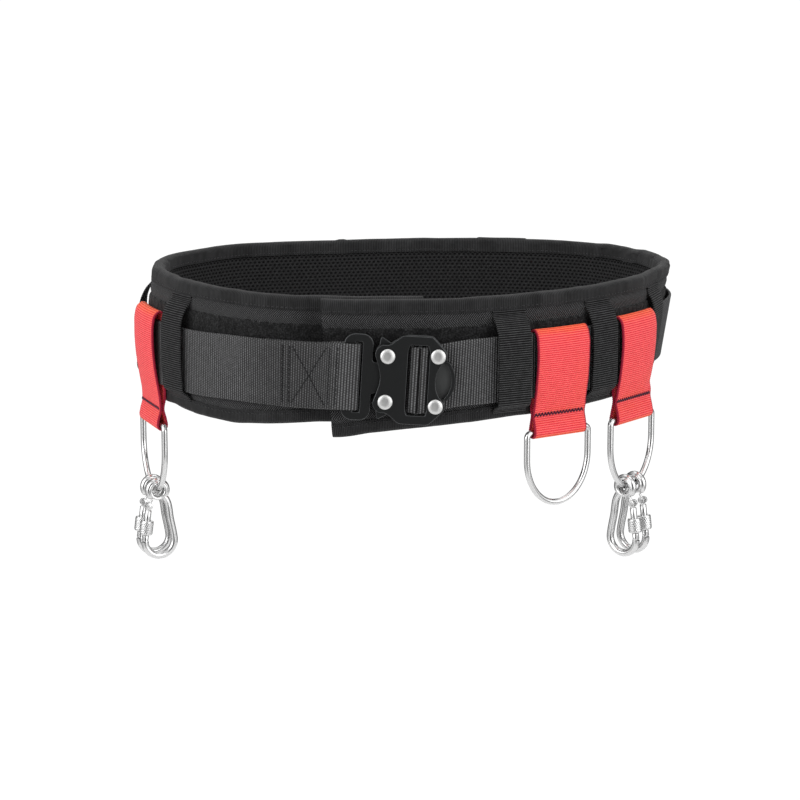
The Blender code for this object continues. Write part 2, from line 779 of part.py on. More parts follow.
def sleeve_mesh(scratch):
    """The screw sleeve at the gate's lower end, its bore along the gate."""
    bore = GATE_WIRE + GAP
    cut = 0.6
    sleeve = turned("sleeve", (
        (bore, 0), (SLEEVE_OUT - cut, 0), (SLEEVE_OUT, cut), (SLEEVE_OUT, SLEEVE_LONG - cut),
        (SLEEVE_OUT - cut, SLEEVE_LONG), (bore, SLEEVE_LONG),
    ), 12, scratch, None)
    end = gate_point(GATE_END + 0.2)
    way = (Vector(HINGE) - gate_point(GATE_END)).normalized()
    turn = Matrix.Rotation(math.atan2(way.x, way.y), 4, "Y")
    sleeve.data.transform(Matrix.Translation((end.x * MM, 0, end.y * MM)) @ turn)
    mesh = sleeve.data.copy()
    bpy.data.objects.remove(sleeve, do_unlink=True)
    return mesh


def make_hook_meshes(scratch, look):
    meshes = {"hook": hook_body_mesh(scratch), "gate": gate_mesh(scratch), "sleeve": sleeve_mesh(scratch)}
    for mesh in meshes.values():
        mesh.materials.clear()
        mesh.materials.append(look)
        mesh.shade_smooth()
        mesh.set_sharp_from_angle(angle=math.radians(40))
    for thing in list(scratch.objects):
        bpy.data.objects.remove(thing, do_unlink=True)
    return meshes


def make_hook(name, ring, offset, meshes, group):
    """A snap hook whose eye hangs on the ring's wire at an offset along it."""
    wire = Matrix.Translation((offset * MM, 0, ring_drop(offset) * MM))
    eye = Matrix.Translation((0, 0, -EYE_DROP * MM))
    square = Matrix.Rotation(math.radians(90), 4, "Z")
    swing = Matrix.Rotation(HOOK_TILT, 4, "Y")
    for kind, mesh in meshes.items():
        made = bpy.data.objects.new(kind + "_" + name, mesh)
        group.objects.link(made)
        made.matrix_world = ring @ wire @ square @ swing @ eye


# Buckle

def arc_points(centre, radius, first, last, count):
    """Points of an arc between two angles in degrees."""
    return [
        (centre[0] + radius * math.cos(math.radians(first + (last - first) * k / (count - 1))),
         centre[1] + radius * math.sin(math.radians(first + (last - first) * k / (count - 1))))
        for k in range(count)
    ]


def mirrored(upper):
    """A whole outline from its upper half, which runs from right to left."""
    lower = [(x, -z) for x, z in reversed(upper) if abs(z) > 0.01]
    return upper + lower


def ring_hole(x, z, radius):
    return arc_points((x, z), radius, 0, 330, 12)


def slot_hole():
    left, right, half = SLOT
    return [(left + 0.8, -half), (right - 0.8, -half), (right, -half + 0.8), (right, half - 0.8),
            (right - 0.8, half), (left + 0.8, half), (left, half - 0.8), (left, -half + 0.8)]


def plate_outline():
    """Upper half: waisted right side, shoulder, flat top, slanted shoulder, waisted mouth."""
    return mirrored([
        (17.2, 0), (17.9, 5.5), (20.0, 10.5), *arc_points((18.6, 16.8), 5.6, -25, 40, 4),
        (16.6, 27.0), (14.2, 29.2), (12.6, 29.6), (-4.4, 29.6), (-6.4, 29.0), (-13.8, 22.8),
        *arc_points((-16.6, 16.4), 6.6, 105, 190, 5), (-21.0, 9.0), (-19.6, 4.0), (-19.2, 0),
    ])


def bottom_outline():
    """The rear plate, with the rounded tongue that shows beside the waist."""
    return mirrored([
        (28.4, 0), (28.0, 5.0), (26.6, 10.0), (24.2, 14.6), *arc_points((18.6, 16.8), 5.6, 0, 40, 3),
        (16.6, 27.0), (14.2, 29.2), (-4.4, 29.2), (-13.8, 22.6),
        *arc_points((-16.6, 16.4), 6.3, 105, 190, 5), (-20.6, 9.0), (-19.2, 4.0), (-18.8, 0),
    ])


def lip_outline():
    """The raised lip along the rear plate's tongue."""
    outer = arc_points((11.0, 0), 19.6, 42, -42, 9)
    inner = arc_points((9.4, 0), 18.6, -43, 43, 9)
    return outer + inner


def make_plates(group, black):
    holes = [ring_hole(x, z, RIVET_SHANK + GAP) for _, x, z in RIVETS]
    flat_outline("buckle_top_plate", [plate_outline(), slot_hole(), *holes], TOP_PLATE, group, black)
    bottom = as_mesh(flat_outline("buckle_bottom_plate", [bottom_outline(), slot_hole(), *holes],
                                  BOTTOM_PLATE, group, black))
    lip = as_mesh(flat_outline("lip", [lip_outline()], (BOTTOM_PLATE[0] + 0.4, 8.0), group, black))
    combine(bottom, [lip], "UNION")
    tube("adjuster_bar", [buckle_point(BAR_AT[0], z, BAR_AT[1]) for z in (-26.0, 0, 26.0)],
         BAR_RADIUS, False, group, black)


def make_rivets(group):
    look = material("rivet steel", RIVET_STEEL)
    face = TOP_PLATE[1] + 0.05
    end = BOTTOM_PLATE[0] + 0.3
    dome = 1.9
    profile = [(0.0, face + dome)]
    for share in (0.4, 0.75):
        profile.append((RIVET_HEAD * share, face + dome * math.sqrt(1 - share ** 2 * 0.9)))
    profile += [
        (RIVET_HEAD, face + 0.5), (RIVET_HEAD, face), (RIVET_SHANK, face), (RIVET_SHANK, end), (0.0, end),
    ]
    for name, x, z in RIVETS:
        rivet = spun(name, profile, 12, group, look)
        rivet.matrix_world = BUCKLE_FRAME @ Matrix.Translation((x * MM, z * MM, 0))


def make_male_frame(group, black):
    """The tongue side: a frame for the webbing's sewn end and an arrow head for the levers."""
    upper = [
        (-3.2, 0), (-3.2, 6.6), (-5.0, 9.2), (-7.6, 9.8), (-7.6, 8.2), (-12.4, 8.2), (-12.4, 9.8),
        (-23.4, 10.4), (-23.4, 18.0), *arc_points((-30.6, 22.6), 8.2, 0, 90, 5), (-36.0, 30.8),
        *arc_points((-36.4, 23.2), 7.6, 95, 180, 4), (FRAME_BAR[0], 0),
    ]
    slot = [(FRAME_BAR[1], -23.6), (FRAME_SLOT_END, -23.6), (FRAME_SLOT_END, 23.6), (FRAME_BAR[1], 23.6)]
    flat_outline("buckle_male_frame", [mirrored(upper), slot], LEVER_LAYER, group, black)


def make_levers(group, black):
    """Two sprung levers on the mouth's rivets: a tip outside, a catch in the tongue's notch."""
    _, x, z = RIVETS[0]
    for name, side in (("lever_upper", 1), ("lever_lower", -1)):
        outline = [
            *arc_points((x, z), 4.3, 230, 290, 4), (x + 3.1, 11.2), (x + 3.1, 8.6), (x + 5.6, 8.6),
            (x + 6.8, z - 2.5), (x + 4.6, z + 3.2), (x + 1.4, 24.4), (-19.7, 27.9), (-20.9, 21.6),
            *arc_points((x, z), 4.6, 130, 190, 4),
        ]
        hole = ring_hole(x, z, RIVET_SHANK + GAP)
        loops = [[(px, side * pz) for px, pz in points] for points in (outline, hole)]
        flat_outline(name, loops, LEVER_LAYER, group, black)


def main():
    clear_scene()
    group = collection("padded work belt")
    scratch = collection("scratch")
    make_pad(group)
    make_webbing(group)
    make_belt_loops(group)
    make_drops(group, make_hook_meshes(scratch, material("hook steel", STEEL)))
    black = material("black metal", BLACK_METAL)
    make_plates(group, black)
    make_rivets(group)
    make_male_frame(group, black)
    make_levers(group, black)
    bpy.data.collections.remove(scratch)


main()
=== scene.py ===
import math

import bmesh
import bpy
import numpy as np
from mathutils import Matrix, Vector


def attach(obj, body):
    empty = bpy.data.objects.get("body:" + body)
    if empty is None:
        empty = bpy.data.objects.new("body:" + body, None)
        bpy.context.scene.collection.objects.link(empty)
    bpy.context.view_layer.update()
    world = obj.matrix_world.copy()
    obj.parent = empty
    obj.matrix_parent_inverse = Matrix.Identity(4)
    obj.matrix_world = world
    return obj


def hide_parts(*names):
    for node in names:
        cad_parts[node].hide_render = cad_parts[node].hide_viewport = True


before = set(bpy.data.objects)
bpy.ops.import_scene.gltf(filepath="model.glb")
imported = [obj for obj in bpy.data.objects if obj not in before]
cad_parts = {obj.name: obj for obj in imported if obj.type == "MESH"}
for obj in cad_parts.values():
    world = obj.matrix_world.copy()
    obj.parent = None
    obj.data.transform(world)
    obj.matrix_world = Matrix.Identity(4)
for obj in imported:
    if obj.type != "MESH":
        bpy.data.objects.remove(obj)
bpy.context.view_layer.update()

mm = 0.001
gap = 0.3                                   # between neighbouring pieces, mm

# ---- stage, camera and light
studio = {
    "cameraAt": (2.9, -2029.9, 381.6),      # mm, as the photo was taken
    "cameraAim": (-6.0, -74.0, -38.3),
    "lens": 131.5,
    "floorHeight": -430.0,
    "floorReach": 560.0,
    "floorGrey": 0.92,
    "evenLight": 0.58,                      # what cloth gets from all round
    "mirrored": 1.0, "backdrop": 1.05,      # strength for glossy rays and for what the camera sees
    "flags": (                              # front to back of the room, how light the steel finds it
        (0.0, 0.10), (0.04, 0.12), (0.07, 1.0), (0.22, 1.1), (0.27, 0.22),
        (0.33, 0.2), (0.38, 0.95), (0.56, 0.8), (0.64, 0.16), (1.0, 0.3),
    ),
    "lights": (                             # name, place in mm, size in mm, watts
        ("leftBox", (-1700, -1350, 700), 2300, 30),
        ("rightBox", (1700, -1300, 500), 2300, 22),
        ("topBox", (100, 200, 1700), 2400, 14),
        ("backBox", (200, 1900, 900), 2300, 10),
    ),
}


def aimAt(thing, target):
    way = Vector(target) * mm - thing.location
    thing.rotation_euler = way.to_track_quat("-Z", "Y").to_euler()


def linked(name, data):
    thing = bpy.data.objects.new(name, data)
    bpy.context.scene.collection.objects.link(thing)
    return thing


def maths(tree, operation, first, second=None, third=None):
    node = tree.nodes.new("ShaderNodeMath")
    node.operation = operation
    for socket, value in zip(node.inputs, (first, second, third)):
        if isinstance(value, bpy.types.NodeSocket):
            tree.links.new(value, socket)
        elif value is not None:
            socket.default_value = value
    return node.outputs[0]


def ramp(tree, factor, stops):
    node = tree.nodes.new("ShaderNodeValToRGB")
    while len(node.color_ramp.elements) < len(stops):
        node.color_ramp.elements.new(0.5)
    for element, (position, colour) in zip(node.color_ramp.elements, stops):
        element.position = position
        element.color = (*colour, 1.0)
    tree.links.new(factor, node.inputs[0])
    return node.outputs[0]


def setStage():
    camera = linked("studioCamera", bpy.data.cameras.new("studioCamera"))
    camera.data.lens = studio["lens"]
    camera.data.sensor_width = 36
    camera.data.clip_end = 30
    camera.location = Vector(studio["cameraAt"]) * mm
    aimAt(camera, studio["cameraAim"])
    bpy.context.scene.camera = camera
    for name, place, size, watts in studio["lights"]:
        lamp = bpy.data.lights.new(name, "AREA")
        lamp.shape = "DISK"
        lamp.size = size * mm
        lamp.energy = watts
        light = linked(name, lamp)
        light.location = Vector(place) * mm
        aimAt(light, (0, 0, -20))
    bm = bmesh.new()
    bmesh.ops.create_circle(bm, cap_ends=True, segments=96, radius=studio["floorReach"] * mm)
    mesh = bpy.data.meshes.new("floor")
    bm.to_mesh(mesh)
    bm.free()
    floor = linked("floor", mesh)
    floor.location.z = studio["floorHeight"] * mm
    paper = bpy.data.materials.new("paleFloor")
    paper.use_nodes = True
    shader = paper.node_tree.nodes["Principled BSDF"]
    shader.inputs["Base Color"].default_value = (*[studio["floorGrey"]] * 3, 1)
    shader.inputs["Roughness"].default_value = 0.9
    mesh.materials.append(paper)
    bpy.context.scene.view_settings.view_transform = "Standard"


def setWorld():                             # even light for cloth, light and dark flags for steel
    world = bpy.data.worlds.new("studioWorld")
    bpy.context.scene.world = world
    world.use_nodes = True
    tree = world.node_tree
    tree.nodes.clear()
    out = tree.nodes.new("ShaderNodeOutputWorld")
    glows = []
    for strength in (studio["evenLight"], studio["mirrored"], studio["backdrop"]):
        glow = tree.nodes.new("ShaderNodeBackground")
        glow.inputs["Color"].default_value = (1, 1, 1, 1)
        glow.inputs["Strength"].default_value = strength
        glows.append(glow)
    even, shone, seen = glows
    place = tree.nodes.new("ShaderNodeTexCoord")
    split = tree.nodes.new("ShaderNodeSeparateXYZ")
    tree.links.new(place.outputs["Generated"], split.inputs[0])
    depth = maths(tree, "MULTIPLY_ADD", split.outputs["Y"], 0.5, 0.5)
    flags = ramp(tree, depth, [(at, (light, light, light)) for at, light in studio["flags"]])
    tree.links.new(flags, shone.inputs["Color"])
    path = tree.nodes.new("ShaderNodeLightPath")
    last = even.outputs[0]
    for ray, glow in (("Is Glossy Ray", shone), ("Is Camera Ray", seen)):
        choice = tree.nodes.new("ShaderNodeMixShader")
        tree.links.new(path.outputs[ray], choice.inputs[0])
        tree.links.new(last, choice.inputs[1])
        tree.links.new(glow.outputs[0], choice.inputs[2])
        last = choice.outputs[0]
    tree.links.new(last, out.inputs["Surface"])


setStage()
setWorld()
print("stage and light set")

# ---- finishes; every UV is in millimetres: U along a piece, V across it


def newLook(name, colour, roughness, metallic=0.0, sheen=0.0):
    made = bpy.data.materials.new(name)
    made.use_nodes = True
    shader = made.node_tree.nodes["Principled BSDF"]
    shader.inputs["Base Color"].default_value = (*colour, 1.0)
    shader.inputs["Roughness"].default_value = roughness
    shader.inputs["Metallic"].default_value = metallic
    shader.inputs["Sheen Weight"].default_value = sheen
    shader.inputs["Sheen Roughness"].default_value = 0.5
    if sheen:                               # cloth and thread shine far less than metal
        shader.inputs["Specular IOR Level"].default_value = 0.1
    return made, shader, made.node_tree


def uvParts(tree):
    uv = tree.nodes.new("ShaderNodeUVMap")
    split = tree.nodes.new("ShaderNodeSeparateXYZ")
    tree.links.new(uv.outputs[0], split.inputs[0])
    return split.outputs["X"], split.outputs["Y"]


def wave(tree, value, pitch, phase=0.0):    # 0 to 1, one crest for each pitch
    turned = maths(tree, "MULTIPLY_ADD", value, 2 * math.pi / pitch, phase)
    return maths(tree, "MULTIPLY_ADD", maths(tree, "SINE", turned), 0.5, 0.5)


def grain(tree, scale, detail=3.0, stretch=(1, 1, 1)):
    place = tree.nodes.new("ShaderNodeTexCoord")
    spread = tree.nodes.new("ShaderNodeMapping")
    spread.inputs["Scale"].default_value = stretch
    tree.links.new(place.outputs["Object"], spread.inputs[0])
    node = tree.nodes.new("ShaderNodeTexNoise")
    node.inputs["Scale"].default_value = scale
    node.inputs["Detail"].default_value = detail
    tree.links.new(spread.outputs[0], node.inputs["Vector"])
    return node.outputs[0]


def emboss(tree, shader, height, distance, strength=1.0):
    node = tree.nodes.new("ShaderNodeBump")
    node.inputs["Distance"].default_value = distance * mm
    node.inputs["Strength"].default_value = strength
    tree.links.new(height, node.inputs["Height"])
    tree.links.new(node.outputs[0], shader.inputs["Normal"])


def colourBy(tree, shader, factor, stops):
    tree.links.new(ramp(tree, factor, stops), shader.inputs["Base Color"])


def grey(*values):
    return [(value, value, value * 1.03) for value in values]


def makeGrosgrain():
    made, shader, tree = newLook("grosgrain", (0.018, 0.018, 0.019), 0.72, sheen=0.08)
    u, v = uvParts(tree)
    ribs = wave(tree, u, 1.25)
    threads = maths(tree, "MULTIPLY", wave(tree, v, 0.62), 0.35)
    worn = maths(tree, "MULTIPLY", grain(tree, 240, 4), 0.8)
    # painted shade and light: long vertical streaks in the colour stand in for the shade of the tape's
    # gathers
    puckerShadeStreaks = maths(tree, "MULTIPLY", grain(tree, 85, 3, stretch=(1, 1, 0.12)), 1.3)
    height = maths(tree, "ADD", maths(tree, "ADD", ribs, threads), worn)
    tone = maths(tree, "DIVIDE", maths(tree, "ADD", height, puckerShadeStreaks), 3.1)
    dark, middle, light = grey(0.004, 0.013, 0.040)
    colourBy(tree, shader, tone, ((0.26, dark), (0.52, middle), (0.80, light)))
    emboss(tree, shader, height, 0.15)
    return made


def makeChevron():                          # two rows of opposite slant, an open weave of light and dark
    made, shader, tree = newLook("chevronTape", (0.016, 0.016, 0.017), 0.62, sheen=0.08)
    u, v = uvParts(tree)
    zig = maths(tree, "PINGPONG", maths(tree, "SUBTRACT", v, 24.0), 4.7)
    ribs = wave(tree, maths(tree, "ADD", u, maths(tree, "MULTIPLY", zig, 0.9)), 1.55)
    across = wave(tree, maths(tree, "SUBTRACT", u, maths(tree, "MULTIPLY", zig, 1.4)), 1.25)
    fine = maths(tree, "MULTIPLY", grain(tree, 900, 2), 0.5)
    height = maths(tree, "ADD", maths(tree, "MULTIPLY_ADD", across, 0.55, ribs), fine)
    dark, middle, light = grey(0.002, 0.012, 0.15)
    colourBy(tree, shader, maths(tree, "DIVIDE", height, 2.05),
             ((0.28, dark), (0.56, middle), (0.86, light)))
    emboss(tree, shader, height, 0.3)
    return made


def makeFleece():
    made, shader, tree = newLook("loopFleece", (0.02, 0.02, 0.021), 0.95, sheen=0.12)
    curls = grain(tree, 950, 4)
    clumps = grain(tree, 190, 3)
    height = maths(tree, "ADD", maths(tree, "MULTIPLY", curls, 0.95), maths(tree, "MULTIPLY", clumps, 0.35))
    dark, middle, light = grey(0.002, 0.007, 0.03)
    colourBy(tree, shader, height, ((0.44, dark), (0.62, middle), (0.85, light)))
    emboss(tree, shader, height, 0.6)
    return made


def makeAirMesh():
    made, shader, tree = newLook("airMesh", (0.02, 0.02, 0.021), 0.6, sheen=0.06)
    fine = grain(tree, 1500, 2)
    dark, light = grey(0.008, 0.034)
    colourBy(tree, shader, fine, ((0.35, dark), (0.7, light)))
    emboss(tree, shader, fine, 0.12)
    return made


def makeDarkCloth():
    made, shader, tree = newLook("darkCloth", (0.004, 0.004, 0.0045), 0.95, sheen=0.01)
    fine = grain(tree, 700, 3)
    dark, light = grey(0.002, 0.008)
    colourBy(tree, shader, fine, ((0.3, dark), (0.7, light)))
    emboss(tree, shader, fine, 0.2)
    return made


def makeGreyWeb(pitch):
    made, shader, tree = newLook("greyWebbing", (0.08, 0.083, 0.088), 0.5, sheen=0.04)
    shader.inputs["Specular IOR Level"].default_value = 0.35
    u, v = uvParts(tree)
    ribs = wave(tree, u, pitch, math.pi / 2)
    other = maths(tree, "GREATER_THAN", wave(tree, u, 2 * pitch, math.pi / 2), 0.5)
    beads = wave(tree, maths(tree, "MULTIPLY_ADD", other, 0.85, v), 1.7)
    worn = grain(tree, 350, 4)
    height = maths(tree, "MULTIPLY", ribs, maths(tree, "MULTIPLY_ADD", beads, 0.5, 0.6))
    height = maths(tree, "MULTIPLY_ADD", worn, 0.5, height)
    # painted shade: the colour is darker over the sewn stretch, from X about -0.1 to -0.05 m
    spot = tree.nodes.new("ShaderNodeTexCoord")
    ends = tree.nodes.new("ShaderNodeSeparateXYZ")
    tree.links.new(spot.outputs["Object"], ends.inputs[0])
    fromLeft = maths(tree, "MULTIPLY_ADD", ends.outputs["X"], 5.0, 1.0)     # 0 at X -0.2 m, 1 at X 0
    sewnStretchShade = ramp(tree, fromLeft, [(at, (share, share, share)) for at, share in (
        (0.0, 0), (0.42, 0), (0.54, 1), (0.735, 1), (0.765, 0), (1.0, 0),
    )])
    tone = maths(tree, "DIVIDE", height, 1.6)
    tone = maths(tree, "SUBTRACT", tone, maths(tree, "MULTIPLY", sewnStretchShade, 0.13))    # painted shade: darker over the sewn stretch
    dark, middle, light = grey(0.004, 0.034, 0.165)
    colourBy(tree, shader, tone, ((0.2, dark), (0.46, middle), (0.85, light)))
    emboss(tree, shader, height, 0.2)
    return made


def makeBlackWeb(pitch):
    made, shader, tree = newLook("blackWebbing", (0.014, 0.014, 0.015), 0.6, sheen=0.04)
    u, v = uvParts(tree)
    ribs = wave(tree, u, pitch, math.pi / 2)
    threads = maths(tree, "MULTIPLY", wave(tree, v, 0.6), 0.2)
    worn = maths(tree, "MULTIPLY", grain(tree, 320, 4), 0.45)
    height = maths(tree, "ADD", maths(tree, "ADD", ribs, threads), worn)
    dark, middle, light = grey(0.0005, 0.004, 0.095)
    colourBy(tree, shader, maths(tree, "DIVIDE", height, 1.8),
             ((0.27, dark), (0.52, middle), (0.85, light)))
    emboss(tree, shader, height, 0.2)
    return made


def makeRedWeb(pitch, width):
    made, shader, tree = newLook("redWebbing", (0.78, 0.045, 0.06), 0.55, sheen=0.08)
    u, v = uvParts(tree)
    ribs = wave(tree, u, pitch, math.pi / 2)
    threads = maths(tree, "MULTIPLY", wave(tree, v, 0.7), 0.15)
    worn = maths(tree, "MULTIPLY", grain(tree, 260, 4), 0.4)
    height = maths(tree, "ADD", maths(tree, "ADD", ribs, threads), worn)
    tone = maths(tree, "DIVIDE", height, 1.55)
    plain, paintedSheenReds = (ramp(tree, tone, list(zip((0.12, 0.42, 0.85), reds))) for reds in (
        ((0.62, 0.022, 0.038), (0.92, 0.060, 0.080), (1.0, 0.165, 0.165)),
        ((0.56, 0.030, 0.014), (0.88, 0.085, 0.035), (0.98, 0.19, 0.08)),
    ))
    # painted sheen: faces turned up or down take the warmer, more orange reds; the noise patches add random
    # tone
    facing = tree.nodes.new("ShaderNodeNewGeometry")
    upward = tree.nodes.new("ShaderNodeSeparateXYZ")
    tree.links.new(facing.outputs["Normal"], upward.inputs[0])
    lit = maths(tree, "MULTIPLY_ADD", upward.outputs["Z"], 1.6, -0.4)
    low = maths(tree, "MULTIPLY_ADD", upward.outputs["Z"], -2.0, -0.3)
    patchy = maths(tree, "MULTIPLY_ADD", grain(tree, 30, 2), 1.4, -0.72)
    turned = maths(tree, "ADD", maths(tree, "MAXIMUM", lit, low), maths(tree, "MAXIMUM", patchy, 0.0))
    turned = maths(tree, "MINIMUM", maths(tree, "MAXIMUM", turned, 0.0), 1.0)
    edge = maths(tree, "DIVIDE", maths(tree, "ABSOLUTE", v), width / 2)
    rim = ramp(tree, edge, ((0.0, (0, 0, 0)), (0.925, (0, 0, 0)), (0.965, (1, 1, 1)), (1.0, (1, 1, 1))))
    face, whole = (tree.nodes.new("ShaderNodeMix") for _ in range(2))
    for mix, factor, first in ((face, turned, plain), (whole, rim, face.outputs[2])):
        mix.data_type = "RGBA"
        tree.links.new(factor, mix.inputs["Factor"])
        tree.links.new(first, mix.inputs[6])
    tree.links.new(paintedSheenReds, face.inputs[7])
    whole.inputs[7].default_value = (0.30, 0.008, 0.03, 1)      # darker selvedges
    tree.links.new(whole.outputs[2], shader.inputs["Base Color"])
    emboss(tree, shader, height, 0.16)
    return made


def makeThread(name, colour):
    made, shader, tree = newLook(name, colour, 0.5, sheen=0.2)
    emboss(tree, shader, grain(tree, 1800, 2), 0.1)
    return made


def makeSteel(name, colour, roughness, scratch):
    made, shader, tree = newLook(name, colour, roughness, 1.0)
    lines = grain(tree, 300, 4, stretch=(1, 1, 6))
    rough = maths(tree, "MULTIPLY_ADD", lines, scratch, roughness)
    tree.links.new(rough, shader.inputs["Roughness"])
    emboss(tree, shader, lines, 0.003, 0.1)
    return made


def makeBlackMetal(name, colour, roughness):
    made, shader, tree = newLook(name, colour, roughness, 0.75)
    fine = grain(tree, 1400, 3)
    rough = maths(tree, "MULTIPLY_ADD", fine, 0.16, roughness - 0.08)
    tree.links.new(rough, shader.inputs["Roughness"])
    emboss(tree, shader, fine, 0.015, 0.5)
    return made


webRib = 1.85
blackRib = 1.5
redRib = 1.45
looks = {
    "grosgrain": makeGrosgrain(),
    "chevron": makeChevron(),
    "fleece": makeFleece(),
    "airMesh": makeAirMesh(),
    "darkCloth": makeDarkCloth(),
    "greyWeb": makeGreyWeb(webRib),
    "blackWeb": makeBlackWeb(blackRib),
    "redWeb": makeRedWeb(redRib, 43.6),
    "blackThread": makeThread("blackThread", (0.012, 0.012, 0.013)),
    "redThread": makeThread("plumThread", (0.045, 0.002, 0.02)),
    "greyThread": makeThread("greyThread", (0.010, 0.010, 0.011)),
    "steel": makeSteel("polishedSteel", (0.66, 0.66, 0.66), 0.2, 0.04),
    "rivetSteel": makeSteel("satinSteel", (0.62, 0.62, 0.615), 0.36, 0.10),
    "blackMetal": makeBlackMetal("blackAnodised", (0.023, 0.024, 0.0245), 0.38),
    # lighter, satin base for the bottom plate: a painted reflection on its face
    "lensReflectionMetal": makeBlackMetal("anodisedPaintedReflection", (0.072, 0.074, 0.074), 0.5),
    # lighter finish for the plates' bevels: a painted edge highlight
    "bevelHighlight": makeBlackMetal("blackBevelPaintedHighlight", (0.075, 0.077, 0.08), 0.28),
}
print("finishes made:", len(looks))

# ---- mesh helpers


def gridObject(name, points, uv, look, closedRows=False, body="belt"):     # a closed skin over rows
    rows, columns = points.shape[:2]
    r, c = np.meshgrid(np.arange(rows - 1 + closedRows), np.arange(columns), indexing="ij")
    r, c = r.ravel(), c.ravel()
    steps = ((0, 0), (0, 1), (1, 1), (1, 0))
    quads = np.stack([((r + i) % rows) * columns + (c + j) % columns for i, j in steps], 1)
    corners = np.stack([uv[r + i, c + j] for i, j in steps], 1)
    flat = points.reshape(-1, 3)
    a, b, d, e = (flat[quads[:, k]] for k in range(4))
    volume = np.einsum("ij,ij->", a, np.cross(b, d)) + np.einsum("ij,ij->", a, np.cross(d, e))
    inside = volume < 0                     # then every face is turned round
    if inside:
        quads, corners = quads[:, ::-1], corners[:, ::-1]
    faces = quads.tolist()
    cornerUv = corners.reshape(-1, 2)
    if not closedRows:
        first, last = list(range(columns)), list(range((rows - 1) * columns, rows * columns))
        faces += [first, last[::-1]] if inside else [first[::-1], last]
        cornerUv = np.vstack([cornerUv, np.zeros((2 * columns, 2))])
    return meshObject(name, flat, faces, cornerUv, look, body)


def meshObject(name, points, faces, cornerUv, look, body="belt", smooth=60):
    mesh = bpy.data.meshes.new(name)
    mesh.from_pydata([tuple(point) for point in points.tolist()], [], faces)
    if cornerUv is not None:
        layer = mesh.uv_layers.new(name="millimetres")
        layer.data.foreach_set("uv", np.ascontiguousarray(cornerUv, np.float32).ravel())
    mesh.materials.append(look)
    mesh.shade_smooth()
    mesh.set_sharp_from_angle(angle=math.radians(smooth))
    thing = linked(name, mesh)
    if body:
        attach(thing, body)
    return thing


def gridUv(u, v):                           # u for each row, v for each column, one more if closed
    return np.stack(np.meshgrid(u, v, indexing="ij"), -1)


def smoothStep(low, high, value):
    t = np.clip((np.asarray(value, float) - low) / (high - low), 0, 1)
    return t * t * (3 - 2 * t)


def unit(vectors):
    return vectors / np.linalg.norm(vectors, axis=-1, keepdims=True)


def arcPoints(centre, radius, first, last, count):
    angles = np.radians(np.linspace(first, last, count))
    return [(centre[0] + radius * math.cos(a), centre[1] + radius * math.sin(a)) for a in angles]


def resample(points, step, extra=(), closed=False):   # even steps along a smooth line
    points = np.asarray(points, float)
    if closed:
        points = np.vstack([points[-2:], points, points[:3]])
    chord = np.linalg.norm(np.diff(points, axis=0), axis=1)
    at = np.concatenate([[0], np.cumsum(chord)])
    fine = []
    for column in range(points.shape[1]):
        ys = points[:, column]
        slope = np.diff(ys) / chord
        knot = np.concatenate([[slope[0]], (slope[:-1] * chord[1:] + slope[1:] * chord[:-1])
                               / (chord[:-1] + chord[1:]), [slope[-1]]])
        first, last = (at[2], at[-3]) if closed else (at[0], at[-1])
        count = max(2, int(round((last - first) / step)))
        place = np.linspace(first, last, count, endpoint=not closed)
        i = np.clip(np.searchsorted(at, place, side="right") - 1, 0, len(chord) - 1)
        h = chord[i]
        t = (place - at[i]) / h
        fine.append((2 * t ** 3 - 3 * t ** 2 + 1) * ys[i] + (t ** 3 - 2 * t ** 2 + t) * h * knot[i]
                    + (3 * t ** 2 - 2 * t ** 3) * ys[i + 1] + (t ** 3 - t ** 2) * h * knot[i + 1])
    others = [np.interp(place, at, np.asarray(row, float)) for row in extra]
    return np.stack(fine, 1), place - place[0], others


# ---- the loop that everything on the belt follows, mm

loop = {
    "plan": (
        (-20, -132), (60, -120), (122, -82), (163, -33), (185, 20), (163, 82), (100, 115),
        (20, 123), (-70, 109), (-140, 86), (-179, 38), (-169, -34), (-125, -91), (-70, -126),
    ),
    "top": 43.0,
    "padStep": ((-37, 1), (40, 1), (98, 0), (885, 0), (928, -0.4), (949, -1.5), (1030, -1.2)),
    "lap": 4.75,                            # how far out one padStep is, where the pad's ends lap
    "tuck": (                               # side ends lean in: place, shift at the top, more per mm down
        (0, 0, 0), (203, 0, 0), (246, 3.4, 0.155), (330, 4.0, 0.155), (400, 0, 0), (640, 0, 0),
        (690, 5.0, 0.02), (742, 5.2, 0.02), (756, 5.0, -0.05), (772, 3.8, -0.15), (792, 3.4, -0.16),
        (812, 2.5, -0.12), (842, 1.0, -0.05), (870, 0, 0), (988, 0, 0),
    ),
}


def closedSpline(points, samples):
    knots = np.array(points, float)
    count = len(knots)
    chord = np.linalg.norm(np.roll(knots, -1, 0) - knots, axis=1)
    at = np.concatenate([[0.0], np.cumsum(chord)])
    system = np.zeros((count, count))
    right = np.zeros((count, 2))
    for i in range(count):
        before, after = chord[i - 1], chord[i]
        system[i, i - 1] += before
        system[i, i] += 2 * (before + after)
        system[i, (i + 1) % count] += after
        right[i] = 6 * ((knots[(i + 1) % count] - knots[i]) / after - (knots[i] - knots[i - 1]) / before)
    bend = np.linalg.solve(system, right)
    where = np.linspace(0.0, at[-1], samples, endpoint=False)
    left = np.searchsorted(at, where, side="right") - 1
    after = (left + 1) % count
    b = (where - at[left]) / chord[left]
    a = 1.0 - b
    cubic = (a ** 3 - a)[:, None] * bend[left] + (b ** 3 - b)[:, None] * bend[after]
    return a[:, None] * knots[left] + b[:, None] * knots[after] + cubic * (chord[left] ** 2)[:, None] / 6


